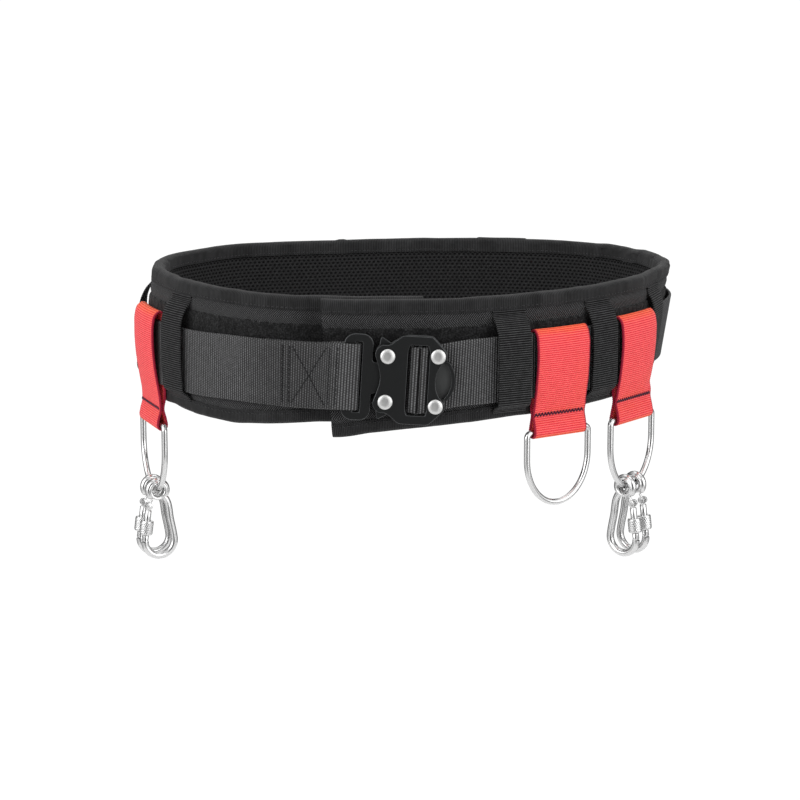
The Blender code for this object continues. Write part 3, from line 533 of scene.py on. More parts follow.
planCurve = closedSpline(loop["plan"], 4000)
planRing = np.vstack([planCurve, planCurve[:1]])
planAt = np.concatenate([[0.0], np.cumsum(np.linalg.norm(np.diff(planRing, axis=0), axis=1))])
loopLength = float(planAt[-1])


def planPoint(place):
    wrapped = np.mod(place, loopLength)
    return np.stack([np.interp(wrapped, planAt, planRing[:, k]) for k in (0, 1)], -1)


def planTangent(place):
    place = np.asarray(place, float)
    return unit(planPoint(place + 1.5) - planPoint(place - 1.5))


def outwardAt(place):
    along = planTangent(place)
    return np.stack([along[..., 1], -along[..., 0]], -1)


def beltPoint(place, out, height):          # metres
    place, out, height = np.broadcast_arrays(np.asarray(place, float), out, height)
    around = np.mod(place, loopLength)
    shift = fromTable(loop["tuck"], 1, around) + fromTable(loop["tuck"], 2, around) * (loop["top"] - height)
    out = out - np.maximum(0.0, shift)
    flat = planPoint(place) + out[..., None] * outwardAt(place)
    return np.concatenate([flat, height[..., None]], -1) * mm


def fromTable(table, column, place):
    rows = np.array(table, float)
    xs, ys = rows[:, 0], rows[:, column]
    place = np.clip(np.asarray(place, float), xs[0], xs[-1])
    slope = np.diff(ys) / np.diff(xs)
    knot = np.zeros(len(xs))
    both = slope[:-1] * slope[1:] > 0
    knot[1:-1][both] = (2 * slope[:-1] * slope[1:])[both] / (slope[:-1] + slope[1:])[both]
    i = np.clip(np.searchsorted(xs, place, side="right") - 1, 0, len(xs) - 2)
    h = xs[i + 1] - xs[i]
    t = (place - xs[i]) / h
    return ((2 * t ** 3 - 3 * t ** 2 + 1) * ys[i] + (t ** 3 - 2 * t ** 2 + t) * h * knot[i]
            + (3 * t ** 2 - 2 * t ** 3) * ys[i + 1] + (t ** 3 - t ** 2) * h * knot[i + 1])


def padStep(place):
    return loop["lap"] * fromTable(loop["padStep"], 1, place)


def wander(place, pitch, seed):             # smooth noise along the loop, -1 to 1
    count = max(4, int(round(loopLength / pitch)))
    knots = np.random.default_rng(seed).uniform(-1, 1, count)
    at = np.mod(np.asarray(place, float) / loopLength, 1.0) * count
    i = np.floor(at).astype(int)
    f = at - i
    f = f * f * (3 - 2 * f)
    return knots[i % count] * (1 - f) + knots[(i + 1) % count] * f


# ---- pad shell, bindings, air mesh and fleece

pad = {
    "top": loop["top"], "half": 3.0, "tape": 0.9, "leg": 8.6, "skin": 1.1,
    "outerEnd": -37.0, "innerEnd": 30.0, "slant": 7.0,
    "fleeceTop": 24.0, "fleeceBottom": -25.0,
    "low": (
        (-37, -50.5), (-7, -47), (30, -43.5), (81, -40.3), (150, -38.8), (195, -36.5),
        (238, -29), (280, -27), (340, -31), (430, -38), (520, -40), (640, -42), (740, -45),
        (813, -46.5), (850, -48.5), (875, -49), (906, -46.5), (934, -43.5), (960, -42.5),
        (1030, -42),
    ),
    "topJoins": ((430, 466), (565, 571)),   # first and last place of each lap in the top tape
    "pucker": (                             # place along the loop, how strongly the tape is gathered
        (-37, 0.5), (60, 0.4), (150, 0.6), (215, 1.0), (300, 1.3), (350, 1.2), (400, 0.8), (470, 0.5),
        (700, 0.5), (760, 0.9), (840, 0.7), (930, 0.5), (1020, 0.5),
    ),
}
padEnd = loopLength + pad["innerEnd"]


def padLow(place):
    return fromTable(pad["low"], 1, place)


def onPad(place, out, height):              # a point of the pad, its outer end leaning a little
    slant = pad["slant"] * (1 - smoothStep(pad["outerEnd"], 20, place))
    shifted = place + slant * (pad["top"] - height) / (2 * pad["top"])
    return beltPoint(shifted, out + padStep(place), height)


def placesEvery(step, first=pad["outerEnd"], last=padEnd):
    return np.linspace(first, last, int(round((last - first) / step)) + 1)


def makePadShell():
    places = placesEvery(3.0)[:, None]
    low, high = padLow(places) + pad["tape"] + gap, pad["top"] - pad["tape"] - gap
    rise = np.concatenate([np.linspace(0.02, 0.98, 30), [1.0], np.linspace(0.98, 0.02, 14), [0.0]])[None, :]
    side = np.concatenate([np.ones(30), [0], -np.ones(14), [0]])[None, :]
    height = low + (high - low) * rise
    middle = (pad["fleeceTop"] + pad["top"] - pad["tape"] - pad["leg"]) / 2
    upper = np.exp(-((height - middle) / 3.6) ** 2)
    lower = np.exp(-((height - (low + 12.5)) / 3.6) ** 2)
    crown = (1.25 + 0.35 * wander(places, 17, 3)) * np.maximum(upper, lower) * (side > 0)
    out = side * (pad["half"] - 0.15 * (np.abs(rise - 0.5) > 0.47)) + crown
    uv = np.stack(np.broadcast_arrays(places, np.concatenate([height, height[:, :1]], 1)), -1)
    shell = gridObject("padShell", onPad(places, out, height), uv, looks["chevron"])
    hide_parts("pad_body")


def tapeSection(place, edge, way):          # the folded tape over an edge: out and height for each column
    near, far = pad["half"] + gap, pad["half"] + gap + pad["tape"]
    strength = fromTable(pad["pucker"], 1, np.clip(place, -37, 1020))
    gather = strength * (0.45 * wander(place, 7.5, 11) + 0.3 * wander(place, 3.6, 12))
    crest = edge + way * strength * (0.35 * wander(place, 13, 13) - 0.1)
    leg = pad["tape"] + pad["leg"]
    turns = np.radians(np.linspace(0, 180, 15))
    legs = np.linspace(leg, 3.0, 6)
    outs, heights = [], []
    wobble = 0.25 * strength * wander(place, 5.2, 14)
    for drop in legs:
        outs.append(far + 0.15 + gather * (1 - 0.75 * (drop - 3) / (leg - 3)))
        heights.append(crest - way * (drop + wobble * (drop == leg)))
    for turn in turns[1:-1]:
        bend = np.cos(turn)
        outs.append((far + 0.15) * bend + gather * abs(bend) ** 0.5 * np.sign(bend))
        heights.append(crest - way * 3.0 * (1 - np.sin(turn)))
    for drop in legs[::-1]:
        outs.append(-far - 0.15 + gather * (1 - 0.75 * (drop - 3) / (leg - 3)))
        heights.append(crest - way * (drop - wobble * (drop == leg)))
    for out, drop in ((-near, leg), (-near, 3.2), (0, pad["tape"] + 0.2), (near, 3.2), (near, leg)):
        outs.append(np.full_like(place, out))
        heights.append(edge - way * drop + 0 * place)
    return np.stack(outs, 1), np.stack(heights, 1)


def makeBinding(name, edgeAt, way, node, joins=()):
    places = placesEvery(1.2)
    out, height = tapeSection(places, edgeAt(places), way)
    for first, last in joins:               # where the tape's ends lap, a step thicker
        begun, ended = (smoothStep(at - 0.7, at + 0.7, places) for at in (first, last))
        lap = (begun * (1 - ended))[:, None]
        thicker = np.abs(out) > pad["half"] + gap + 0.1
        out = out + lap * thicker * 0.5 * np.sign(out)
        height = height + lap * way * 0.6 * (np.arange(out.shape[1]) > 5) * (np.arange(out.shape[1]) < 19)
    across = np.concatenate([[0], np.cumsum(np.hypot(np.diff(out[0]), np.diff(height[0]))), [40]])
    tape = gridObject(name, onPad(places[:, None], out, height), gridUv(places, across), looks["grosgrain"])
    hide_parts(node)


def makeFleeceBand():
    places = placesEvery(1.1, pad["outerEnd"] + 0.6, padEnd - 0.6)[:, None]
    low = np.maximum(pad["fleeceBottom"], padLow(places) + pad["tape"] + pad["leg"] + gap)
    rise = np.linspace(0, 1, 34)[None, :]
    rough = np.random.default_rng(5).normal(0, 1, (len(places), 34))
    rough = (rough + np.roll(rough, 1, 0) + np.roll(rough, 1, 1) + np.roll(rough, 2, 0)) / 2
    edge = np.minimum(rise, 1 - rise) < 0.001
    near = pad["half"] + gap
    out = np.where(edge, near + 0.5, near + pad["skin"] - 0.1 + 0.2 * rough)
    height = low + (pad["fleeceTop"] - low) * rise
    height = height + 0.35 * rough * (rise > 0.9)
    back = np.full_like(height[:, :2], near)
    out = np.concatenate([out, back], 1)
    height = np.concatenate([height, height[:, [33, 0]]], 1)
    uv = np.stack(np.broadcast_arrays(places, np.concatenate([height, height[:, :1]], 1)), -1)
    band = gridObject("fleeceBand", onPad(places, out, height), uv, looks["fleece"])
    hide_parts("fleece_band")


net = {"along": 3.4, "rows": 2.5, "hole": (1.12, 0.86), "depth": 0.65}     # of the air mesh


def makeAirMeshLining():
    top = pad["top"] - pad["tape"] - pad["leg"] - gap
    first, last = pad["outerEnd"] + 1.6, padEnd - 1.6
    count = int((last - first) / net["along"]) - 1
    rowCount = int((top + 40) / net["rows"])
    j, i = np.meshgrid(np.arange(rowCount), np.arange(count), indexing="ij")
    centreU = first + net["along"] * (i + 0.5 + 0.5 * (j % 2))
    centreV = top - net["rows"] * (j + 0.7)
    keep = centreV > padLow(centreU) + pad["tape"] + pad["leg"] + gap + net["rows"] * 0.7
    centres = np.stack([centreU[keep], centreV[keep]], 1)
    corner = np.array([(0.5, 1 / 3), (0, 2 / 3), (-0.5, 1 / 3), (-0.5, -1 / 3), (0, -2 / 3), (0.5, -1 / 3)])
    outer = centres[:, None] + corner * (net["along"], net["rows"])
    angle = np.arctan2(corner[:, 1] * net["rows"], corner[:, 0] * net["along"])
    hole = centres[:, None] + np.stack([np.cos(angle) * net["hole"][0], np.sin(angle) * net["hole"][1]], 1)
    both = np.concatenate([outer, hole], 1).reshape(-1, 2)
    sunk = np.tile(np.repeat([0.0, 1.0], 6), len(centres))
    keys, back = np.unique(np.round(np.column_stack([both, sunk]), 2), axis=0, return_inverse=True)
    back = back.reshape(-1, 12)
    k = np.arange(6)
    ahead = (k + 1) % 6
    quads = np.stack([back[:, k], back[:, ahead], back[:, 6 + ahead], back[:, 6 + k]], 2).reshape(-1, 4)
    reach = pad["half"] + gap + pad["skin"] + 0.05
    out = -(reach - net["depth"] * keys[:, 2])
    points = onPad(keys[:, 0], out, keys[:, 1])
    lace = meshObject("airMeshNet", points, quads.tolist(), keys[quads.ravel(), :2], looks["airMesh"],
                      smooth=180)
    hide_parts("mesh_lining")
    places = placesEvery(3.0, pad["outerEnd"] + 0.6, padEnd - 0.6)[:, None]
    low = padLow(places) + pad["tape"] + pad["leg"] + gap
    rise = np.array([0, 0.25, 0.5, 0.75, 1, 1, 0])[None, :]
    out = -np.array([0.3, 0.45, 0.45, 0.45, 0.3, 0.0, 0.0])[None, :] - pad["half"] - gap + 0 * places
    height = low + (top - low) * rise
    uv = np.stack(np.broadcast_arrays(places, np.concatenate([height, height[:, :1]], 1)), -1)
    behind = gridObject("airMeshBacking", onPad(places, out, height), uv, looks["darkCloth"])
    print("air mesh holes:", len(centres))


makePadShell()
makeBinding("bindingTop", lambda place: np.full_like(place, pad["top"]), 1, "edge_binding_top",
            pad["topJoins"])
makeBinding("bindingBottom", padLow, -1, "edge_binding_bottom")
makeFleeceBand()
makeAirMeshLining()
print("pad, bindings, fleece and air mesh made")

# ---- buckle's own axes, and the grey webbing that runs through it

buckle = {
    "at": (0.0, -142.2, -8.3), "yaw": 2.0, "lean": 3.4,
    "bottom": (2.6, 4.6), "lever": (4.95, 8.15), "top": (8.5, 10.7),
    "slot": (-1.7, 12.6, 23.6), "bar": (6.2, 6.55), "barRadius": 1.65,
    "rivets": (
        ("rivetUpperLeft", "rivet_upper_left", -15.0, 15.3),
        ("rivetLowerLeft", "rivet_lower_left", -15.0, -15.3),
        ("rivetUpperRight", "rivet_upper_right", 18.2, 16.8),
        ("rivetLowerRight", "rivet_lower_right", 18.2, -16.8),
    ),
    "rivetHead": 5.0, "rivetDome": 1.9, "rivetShank": 2.0, "rivetDimple": (1.5, 2.3, 0.16),
    "frameBar": (-44.0, -36.5), "frameSlotEnd": -31.6,
}
webbing = {
    "width": 44.6, "thick": 2.0, "ribHigh": 0.3,
    "overBar": (5.0, 2.95),                 # half width and height of its turn over the adjuster bar
    "riseAtBuckle": 4.6,                    # right of the plates it lies higher
    "groove": (0.85, 0.95),                 # share and half width of the dip in that turn
    "run": (
        (70, -5.3, 12.0), (82, -5.1, 9.9), (98, -5.0, 8.4), (125, -5.0, 8.0), (216, -5.2, 8.0),
        (250, -3.2, 8.0), (300, -2.0, 8.0), (500, -4.0, 8.0), (700, -8.5, 8.0),
        (790, -11.0, 8.0), (850, -10.6, 8.0), (885, -9.0, 8.1), (912, -8.3, 8.7),
        (935, -7.8, 11.0), (948, -7.4, 13.2),
    ),
    "underPly": ((914, -8.3, 6.2), (930, -7.9, 8.0), (948, -7.4, 10.7)),
}


def buckleAxes():
    yaw = math.radians(buckle["yaw"])
    out = Vector((math.sin(yaw), -math.cos(yaw), 0))
    side = Vector((math.cos(yaw), math.sin(yaw), 0))
    lean = Matrix.Rotation(-math.radians(buckle["lean"]), 3, out)
    axes = Matrix((lean @ side, lean @ Vector((0, 0, 1)), out)).transposed().to_4x4()
    axes.translation = Vector(buckle["at"]) * mm
    return axes


buckleFrame = buckleAxes()


def bucklePoint(x, z, t):
    return np.array(buckleFrame @ (Vector((x, z, t)) * mm))


def webbingPath():
    tilt = np.array(buckleFrame.to_3x3() @ Vector((0, 1, 0)))
    up = np.array((0.0, 0.0, 1.0))
    rows = []
    for place in (914, 922, 930, 939, 948):
        share = smoothStep(910, 962, place)
        out, height = fromTable(webbing["underPly"], 2, place), fromTable(webbing["underPly"], 1, place)
        rows.append((beltPoint(place, out, height), up * (1 - share) + tilt * share))
    low, high = buckle["lever"]
    middle, fold = (low + high) / 2, (high - low) / 2 + gap + webbing["thick"] / 2
    rows.append((bucklePoint(buckle["frameBar"][0] - 2, 0, middle - fold), tilt))
    for k in range(9):
        turn = math.pi * (k / 8 - 0.5)
        x = buckle["frameBar"][1] + fold * math.cos(turn)
        rows.append((bucklePoint(x, 0, middle + fold * math.sin(turn)), tilt))
    rows.append((bucklePoint(buckle["frameBar"][0] - 1, 0, middle + fold), tilt))
    for place in np.linspace(948, 70, 110):
        share = max(smoothStep(905, 960, place), 1 - smoothStep(45, 90, place))
        out, height = fromTable(webbing["run"], 2, place), fromTable(webbing["run"], 1, place)
        rise = unit(beltPoint(place, out, height + 10) - beltPoint(place, out, height - 10))
        rows.append((beltPoint(place, out, height), rise * (1 - share) + tilt * share))
    x, t = buckle["bar"]
    reach, crest = webbing["overBar"]
    back, bend = webbing["thick"] / 2 + gap, 1.2
    corners = [(34, back), (20, back)]
    corners += [(x + reach + bend * (1 - math.sin(a)), back + bend * (1 - math.cos(a)))
                for a in np.radians((0, 30, 60, 90))]
    corners += [(x + reach * math.cos(a), t + crest * math.sin(a) ** 0.7)
                for a in np.linspace(0, math.pi, 15)]
    corners += [(x - reach - bend * (1 - math.sin(a)), back + bend * (1 - math.cos(a)))
                for a in np.radians((90, 60, 30, 0))]
    corners.append((-15, back))
    rise = webbing["riseAtBuckle"]
    return rows + [(bucklePoint(px, rise * smoothStep(12, 34, px), pt), tilt) for px, pt in corners]


def webSection(width, thick, columns):      # across and through, once round, with rounded edges
    rounding = thick / 2
    inner = np.linspace(-width / 2 + rounding, width / 2 - rounding, columns)
    left = -width / 2 + rounding * (1 - np.cos(np.radians((0, 35, 65))))
    across = np.concatenate([left, inner, -left[::-1]])
    over = np.clip((np.abs(across) - (width / 2 - rounding)) / rounding, 0, 1)
    through = np.sqrt(np.maximum(0.0, 1 - over ** 2))
    return np.concatenate([across, across[-2:0:-1]]), np.concatenate([through, -through[-2:0:-1]])


def ribShape(along, pitch):                 # 1 on a rib, 0 in the groove
    return np.abs(np.cos(math.pi * along / pitch)) ** 0.7


def makeWebbing():
    rows = webbingPath()
    ups = np.array([row[1] for row in rows]).T
    centres, along, ups = resample([row[0] / mm for row in rows], webRib / 4, ups)
    up = unit(np.stack(ups, 1))
    run = unit(np.gradient(centres, axis=0))
    thick = unit(np.cross(run, up))
    across, through = webSection(webbing["width"], webbing["thick"], 9)
    half = webbing["thick"] / 2 - 0.12 + webbing["ribHigh"] * (ribShape(along, webRib) - 0.35)
    crest = bucklePoint(buckle["bar"][0], 0, buckle["bar"][1] + webbing["overBar"][1]) / mm
    middle = along[int(np.argmin(np.linalg.norm(centres - crest, axis=1)))]
    share, wide = webbing["groove"]
    half = half * (1 - share * np.exp(-((along - middle) / wide) ** 4))
    edge = 1 - 0.004 * (1 - ribShape(along, webRib))
    points = (centres[:, None] + up[:, None] * (across[None, :, None] * edge[:, None, None])
              + thick[:, None] * (half[:, None] * through[None, :])[:, :, None]) * mm
    uv = gridUv(along, np.append(across, across[0]))
    web = gridObject("greyWebbing", points, uv, looks["greyWeb"])
    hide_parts("webbing_belt")
    deep = buckle["bar"][1] + webbing["overBar"][1] + 0.4      # a dark cloth strip in the groove: painted shadow between the two plies over the bar
    heights = np.linspace(-21.6, 21.6, 12)
    seam = np.array([[bucklePoint(buckle["bar"][0] + 0.85 * math.cos(a), z, deep + 0.3 * math.sin(a))
                      for a in np.radians(45 * np.arange(8))] for z in heights])
    dark = gridObject("webbingGrooveShadow", seam, gridUv(heights, np.linspace(0, 5, 9)), looks["darkCloth"])
    return centres, up, thick, along


webCentres, webUp, webOut, webAlong = makeWebbing()
print("grey webbing made, mm long:", round(float(webAlong[-1])))

# ---- belt loops and red drop straps: bands whose path stands at right angles to the belt

loopBand = {"width": 24.6, "thick": 1.4, "top": 33.0}
beltLoops = (                               # piece, node, place, how far out, how far below the belt
    ("beltLoopRight1", "belt_loop_right_1", 86.6, 15.6, 7.6),
    ("beltLoopRight2", "belt_loop_right_2", 158.3, 12.6, 5.4),
    ("beltLoopRight3", "belt_loop_right_3", 229.5, 11.2, 5.2),
    ("beltLoopLeft2", "belt_loop_left_2", 748.0, 12.4, 5.2),
    ("beltLoopLeft1", "belt_loop_left_1", 831.5, 13.0, 5.2),
)
strap = {"width": 43.6, "thick": 1.6, "back": 5.8, "bulge": 14.0}
drops = (                                   # side, place, fold, sewn line, ring bar's height, hooks
    ("centre", 122.6, 19.6, -39.5, -51.4, False),
    ("right", 193.5, 20.2, -39.5, -52.4, True),
    ("left", 790.0, 18.6, -51.5, -62.4, True),
)
ring = {"wire": 2.1, "half": 25.2, "deep": 50.0, "corner": 3.2, "oval": 32.0}


def bandPoints(place, line, side, off, through, straighten):
    out = line[:, :1] + side[:, :1] * through
    height = line[:, 1:] + side[:, 1:] * through
    turn = np.arccos(np.clip(np.dot(planTangent(place - 12), planTangent(place + 12)), -1, 1)) / 24
    spot = place + off / (1 + turn * out)
    bent = beltPoint(spot, out + padStep(spot), height)
    flat = planPoint(place) + out[..., None] * outwardAt(place) + off[..., None] * planTangent(place)
    straight = np.concatenate([flat, height[..., None]], -1) * mm
    share = straighten(line[:, 1])[:, None, None]
    return bent * (1 - share) + straight * share


def sidesOf(line, closed):
    if closed:
        run = np.roll(line, -1, 0) - np.roll(line, 1, 0)
    else:
        run = np.gradient(line, axis=0)
    run = unit(run)
    return np.stack([run[:, 1], -run[:, 0]], 1)


def makeBand(name, place, corners, shape, pitch, ribHigh, straighten, closed, look):
    line, along, _ = resample(corners, pitch / 6, closed=closed)
    side = sidesOf(line, closed)
    across, through = webSection(shape["width"], shape["thick"], 9)
    ribs = ribShape(along, pitch)[:, None]
    half = shape["thick"] / 2 - 0.05 + ribHigh * (ribs - 0.5)
    pinch = 0.3 * (1 - ribs) + 0.25 * (1 + wander(line[:, 1:] * 2, 9, 41))
    edge = 1 - pinch / shape["width"]
    points = bandPoints(place, line, side, across[None, :] * edge, half * through[None, :], straighten)
    u = np.append(along, along[-1] + pitch / 6) if closed else along
    band = gridObject(name, points, gridUv(u, np.append(across, across[0])), look, closedRows=closed)
    return band, line


def webLow(place):
    return float(fromTable(webbing["run"], 1, place)) - webbing["width"] / 2


def loopCorners(place, full, hang):
    start = pad["half"] + 2 * gap + loopBand["thick"] / 2
    foot = start + pad["tape"]
    top, bottom = loopBand["top"], webLow(place) - hang
    return (
        (start, top), (start, top - 2.6), (start + (full - start) * 0.5, top - 8.0), (full - 0.8, top - 16),
        (full, top - 27), (full, bottom + 24), (full - 0.5, bottom + 13), (full - 1.4, bottom + 6),
        (foot + 1.6, bottom + 1.9), (foot, bottom - 0.6),
    )


def strapCorners(place, fold, seam, bar):
    ply = strap["thick"] + gap
    pocket = ring["wire"] + gap + strap["thick"] / 2
    middle, half, low = strap["back"] + ply / 2, strap["thick"] / 2, webLow(place)
    back, bulge = strap["back"], strap["bulge"]
    return [
        (back, fold - 6), (back + 0.1, fold - 2.2), (back + 3.2, fold - 0.1 - half),
        (bulge - 2.4, fold - 2.8), (bulge - 0.4, fold - 9), (bulge, fold - 17), (bulge - 0.8, low + 16),
        (bulge - 2.6, low + 3), (back + ply + 1.5, (low + seam) / 2 - 1), (back + ply, seam),
        (middle + pocket - 0.6, bar + 4.2), *arcPoints((middle, bar), pocket, 0, -180, 9),
        (middle - pocket + 0.6, bar + 4.2), (back, seam), (back, seam + 6), (back, seam + 20), (back, 0),
    ]


for name, node, place, full, hang in beltLoops:
    band, _ = makeBand(name, place, loopCorners(place, full, hang), loopBand, blackRib, 0.16,
                       lambda height: np.zeros_like(height), False, looks["blackWeb"])
    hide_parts(node)

strapLines = {}
for side, place, fold, seam, bar, hooked in drops:
    corners = strapCorners(place, fold, seam, bar)
    straighten = lambda height, low=seam: 1 - smoothStep(low, low + 10, height)
    band, line = makeBand("dropStrap" + side.capitalize(), place, corners, strap, redRib, 0.2,
                          straighten, True, looks["redWeb"])
    strapLines[side] = (line, straighten)
    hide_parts("drop_strap_" + side)
print("belt loops and drop straps made")

# ---- stitches: many small rounded thread ends in one mesh

stitches = {
    "pad": (3.3, 2.3, 0.33, 1.7),           # pitch, length, radius, place in from the tape's edge
    "zigzag": (1.25, 2.7, 0.46),            # pitch, height, radius
    "web": (1.5, 2.1, 0.48),                # pitch, length, radius
    "rows": (-83.8, -79.4, -52.4, -47.6),   # X of two close rows at each end of the sewn stretch
    "cross": (-77.5, 23.0, 23),             # X where it begins, width, stitches
    "lift": 0.12,
}

def dashMesh(name, centres, runs, normals, length, radius, look):
    rings = np.array([(-1.0, 0.0), (-0.86, 0.6), (-0.4, 1.0), (0.4, 1.0), (0.86, 0.6), (1.0, 0.0)])
    turns = np.radians(np.arange(6) * 60)
    body = np.array([(x, r * math.cos(a), r * math.sin(a)) for x, r in rings[1:-1] for a in turns])
    unitDash = np.vstack([[(-1.0, 0, 0)], body, [(1.0, 0, 0)]]) * (length / 2, radius, radius)
    faces = [(0, 1 + (k + 1) % 6, 1 + k) for k in range(6)]
    for base in (1, 7, 13):
        faces += [(base + k, base + (k + 1) % 6, base + 6 + (k + 1) % 6, base + 6 + k)
                  for k in range(6)]
    faces += [(19 + k, 19 + (k + 1) % 6, 25) for k in range(6)]
    runs, normals = unit(np.asarray(runs)), unit(np.asarray(normals))
    sides = unit(np.cross(normals, runs))
    normals = np.cross(runs, sides)
    axes = np.stack([runs, sides, normals], 1)
    points = np.asarray(centres)[:, None] + np.einsum("pk,nkc->npc", unitDash * mm, axes)
    count = len(unitDash)
    allFaces = [tuple(i + n * count for i in face) for n in range(len(points)) for face in faces]
    return meshObject(name, points.reshape(-1, 3), allFaces, None, look, smooth=180)


def stitchAlongPad(name, heightAt, out):
    pitch, length, radius, _ = stitches["pad"]
    places = placesEvery(pitch, pad["outerEnd"] + 2, padEnd - 2)
    height = heightAt(places) + 0.12 * wander(places, 9, 31)
    here = onPad(places, np.full_like(places, out), height)
    ahead = onPad(places + 0.5, np.full_like(places, out), heightAt(places + 0.5))
    deeper = onPad(places, np.full_like(places, out * 0.5), height)
    thread = dashMesh(name, here, ahead - here, here - deeper, length, radius, looks["blackThread"])


def makePadStitches():
    face = pad["half"] + gap + pad["tape"] + 0.2
    leg = pad["tape"] + pad["leg"] - stitches["pad"][3]
    for tag, out in (("Outer", face), ("Inner", -face)):
        stitchAlongPad("bindingStitchTop" + tag, lambda p: np.full_like(p, pad["top"] - leg), out)
        stitchAlongPad("bindingStitchBottom" + tag, lambda p: padLow(p) + leg, out)


def strapSpot(side, place, at, off):        # point and normal on the front ply at a height
    line, straighten = strapLines[side]
    front = line[: int(len(line) * 0.45)]
    i = int(np.argmin(np.abs(front[:, 1] - at) + 100 * (front[:, 0] < strap["back"] + 1)))
    sides = sidesOf(line, True)[i:i + 1]
    outer = -1 if sides[0, 0] < 0 else 1
    width = np.array([[off]])
    here, under = (bandPoints(place, line[i:i + 1], sides, width, np.array([[depth]]), straighten)[0, 0]
                   for depth in (outer * (strap["thick"] / 2 + stitches["lift"]), 0.0))
    return here, here - under


def makeZigzag(side, place, height, look):
    half, (pitch, tall, radius) = strap["width"] / 2 - 1.2, stitches["zigzag"]
    offs = np.arange(-half, half, pitch)
    spots = [strapSpot(side, place, height + (tall if k % 2 else -tall) / 2, off)
             for k, off in enumerate(offs)]
    points = np.array([spot[0] for spot in spots])
    normals = np.array([spot[1] for spot in spots])
    centres, runs = (points[1:] + points[:-1]) / 2, points[1:] - points[:-1]
    length = float(np.mean(np.linalg.norm(runs, axis=1))) / mm * 1.15
    thread = dashMesh("zigzag" + side.capitalize(), centres, runs, normals[1:], length, radius, look)


def webSpot(x, z):                          # nearest point of the outer ply, left of the buckle
    front = (webCentres[:, 1] < -60) & (np.abs(webOut[:, 1]) > 0.2) & (webCentres[:, 0] < 0)
    indices = np.nonzero(front)[0]
    outermost = indices[np.abs(webCentres[indices, 0] - x) < 0.5]
    if not len(outermost):
        outermost = indices[[int(np.argmin(np.abs(webCentres[indices, 0] - x)))]]
    i = int(outermost[np.argmin(webCentres[outermost, 1])])
    normal = webOut[i] if webOut[i, 1] < 0 else -webOut[i]
    spot = webCentres[i] + webUp[i] * z + normal * (webbing["thick"] / 2 + stitches["lift"])
    return spot * mm, normal


def makeWebStitches():
    reach = webbing["width"] / 2 - 3
    pitch, length, radius = stitches["web"]
    ends = []                               # both ends of each stitch, X and height
    for x in stitches["rows"]:
        for z in np.arange(-reach, reach, pitch):
            slant = 1.2 if int(round(z / pitch)) % 2 else -1.2
            ends.append(((x - slant / 2, z), (x + slant / 2, z + 1.2)))
    begin, wide, count = stitches["cross"]
    steps = np.linspace(0, 1, count + 1)
    for way in (1, -1):
        spots = [(begin + wide * share, way * (reach - 2 * reach * share)) for share in steps]
        ends += list(zip(spots[:-1], spots[1:]))
    centres, runs, normals = [], [], []
    for first, second in ends:
        a, normal = webSpot(*first)
        b, _ = webSpot(*second)
        centres.append((a + b) / 2)
        runs.append(b - a)
        normals.append(normal)
    thread = dashMesh("webbingStitches", centres, runs, normals, length, radius, looks["greyThread"])


makePadStitches()
for side, place, fold, seam, bar, hooked in drops:
    makeZigzag(side, place, seam + 0.6, looks["redThread"])
makeWebStitches()
print("stitches made")

# ---- rings and snap hooks

hook = {
    "spread": 6.1, "eyeDrop": 0.5, "hole": 4.2, "flange": 6.7, "eyeWire": 2.6, "eyeRing": 6.3,
    "wire": 2.6, "lean": 9.0, "start": (6.4, -8.5), "lowest": -47.5, "hinge": (-6.75, -10.7),
    "gateWire": 2.3, "gateEnd": -31.2, "sleeveOut": 4.7, "sleeveLong": 10.0, "tilt": -1.55,
    "knurls": 26,
}


def wireObject(name, points, radius, closed, radii=None):   # local mm points, mesh result
    curve = bpy.data.curves.new(name, "CURVE")
    curve.dimensions = "3D"
    curve.bevel_depth = radius * mm
    curve.bevel_resolution = 8
    curve.use_fill_caps = True
    spline = curve.splines.new("POLY")
    spline.points.add(len(points) - 1)
    for k, (knot, point) in enumerate(zip(spline.points, points)):
        knot.co = (*(Vector(point) * mm), 1.0)
        knot.radius = 1.0 if radii is None else float(radii[k])
    spline.use_cyclic_u = closed
    thing = linked(name, curve)
    bpy.context.view_layer.update()
    mesh = bpy.data.meshes.new_from_object(thing.evaluated_get(bpy.context.evaluated_depsgraph_get()))
    bpy.data.objects.remove(thing, do_unlink=True)
    bpy.data.curves.remove(curve)
    return mesh


def turnedMesh(profile, steps):             # (radius, along) once round a closed section, about Z, mm
    bm = bmesh.new()
    rows = []
    for k in range(steps):
        angle = 2 * math.pi * k / steps
        rows.append([bm.verts.new((r * math.cos(angle) * mm, r * math.sin(angle) * mm, along * mm))
                     for r, along in profile])
    for k in range(steps):
        here, there = rows[k], rows[(k + 1) % steps]
        for i in range(len(profile)):
            j = (i + 1) % len(profile)
            bm.faces.new((here[i], here[j], there[j], there[i]))
    bmesh.ops.remove_doubles(bm, verts=bm.verts, dist=1e-7)
    bmesh.ops.recalc_face_normals(bm, faces=bm.faces)
    mesh = bpy.data.meshes.new("turned")
    bm.to_mesh(mesh)
    bm.free()
    return mesh


def softDisc(radius, low, high, bevel):     # a disc's closed section with rounded rims
    arcs = arcPoints((radius - bevel, high - bevel), bevel, 0, 90, 4)
    lower = [(r, low + high - z) for r, z in reversed(arcs)]
    return [(0.0, low), *lower, *arcs, (0.0, high)]


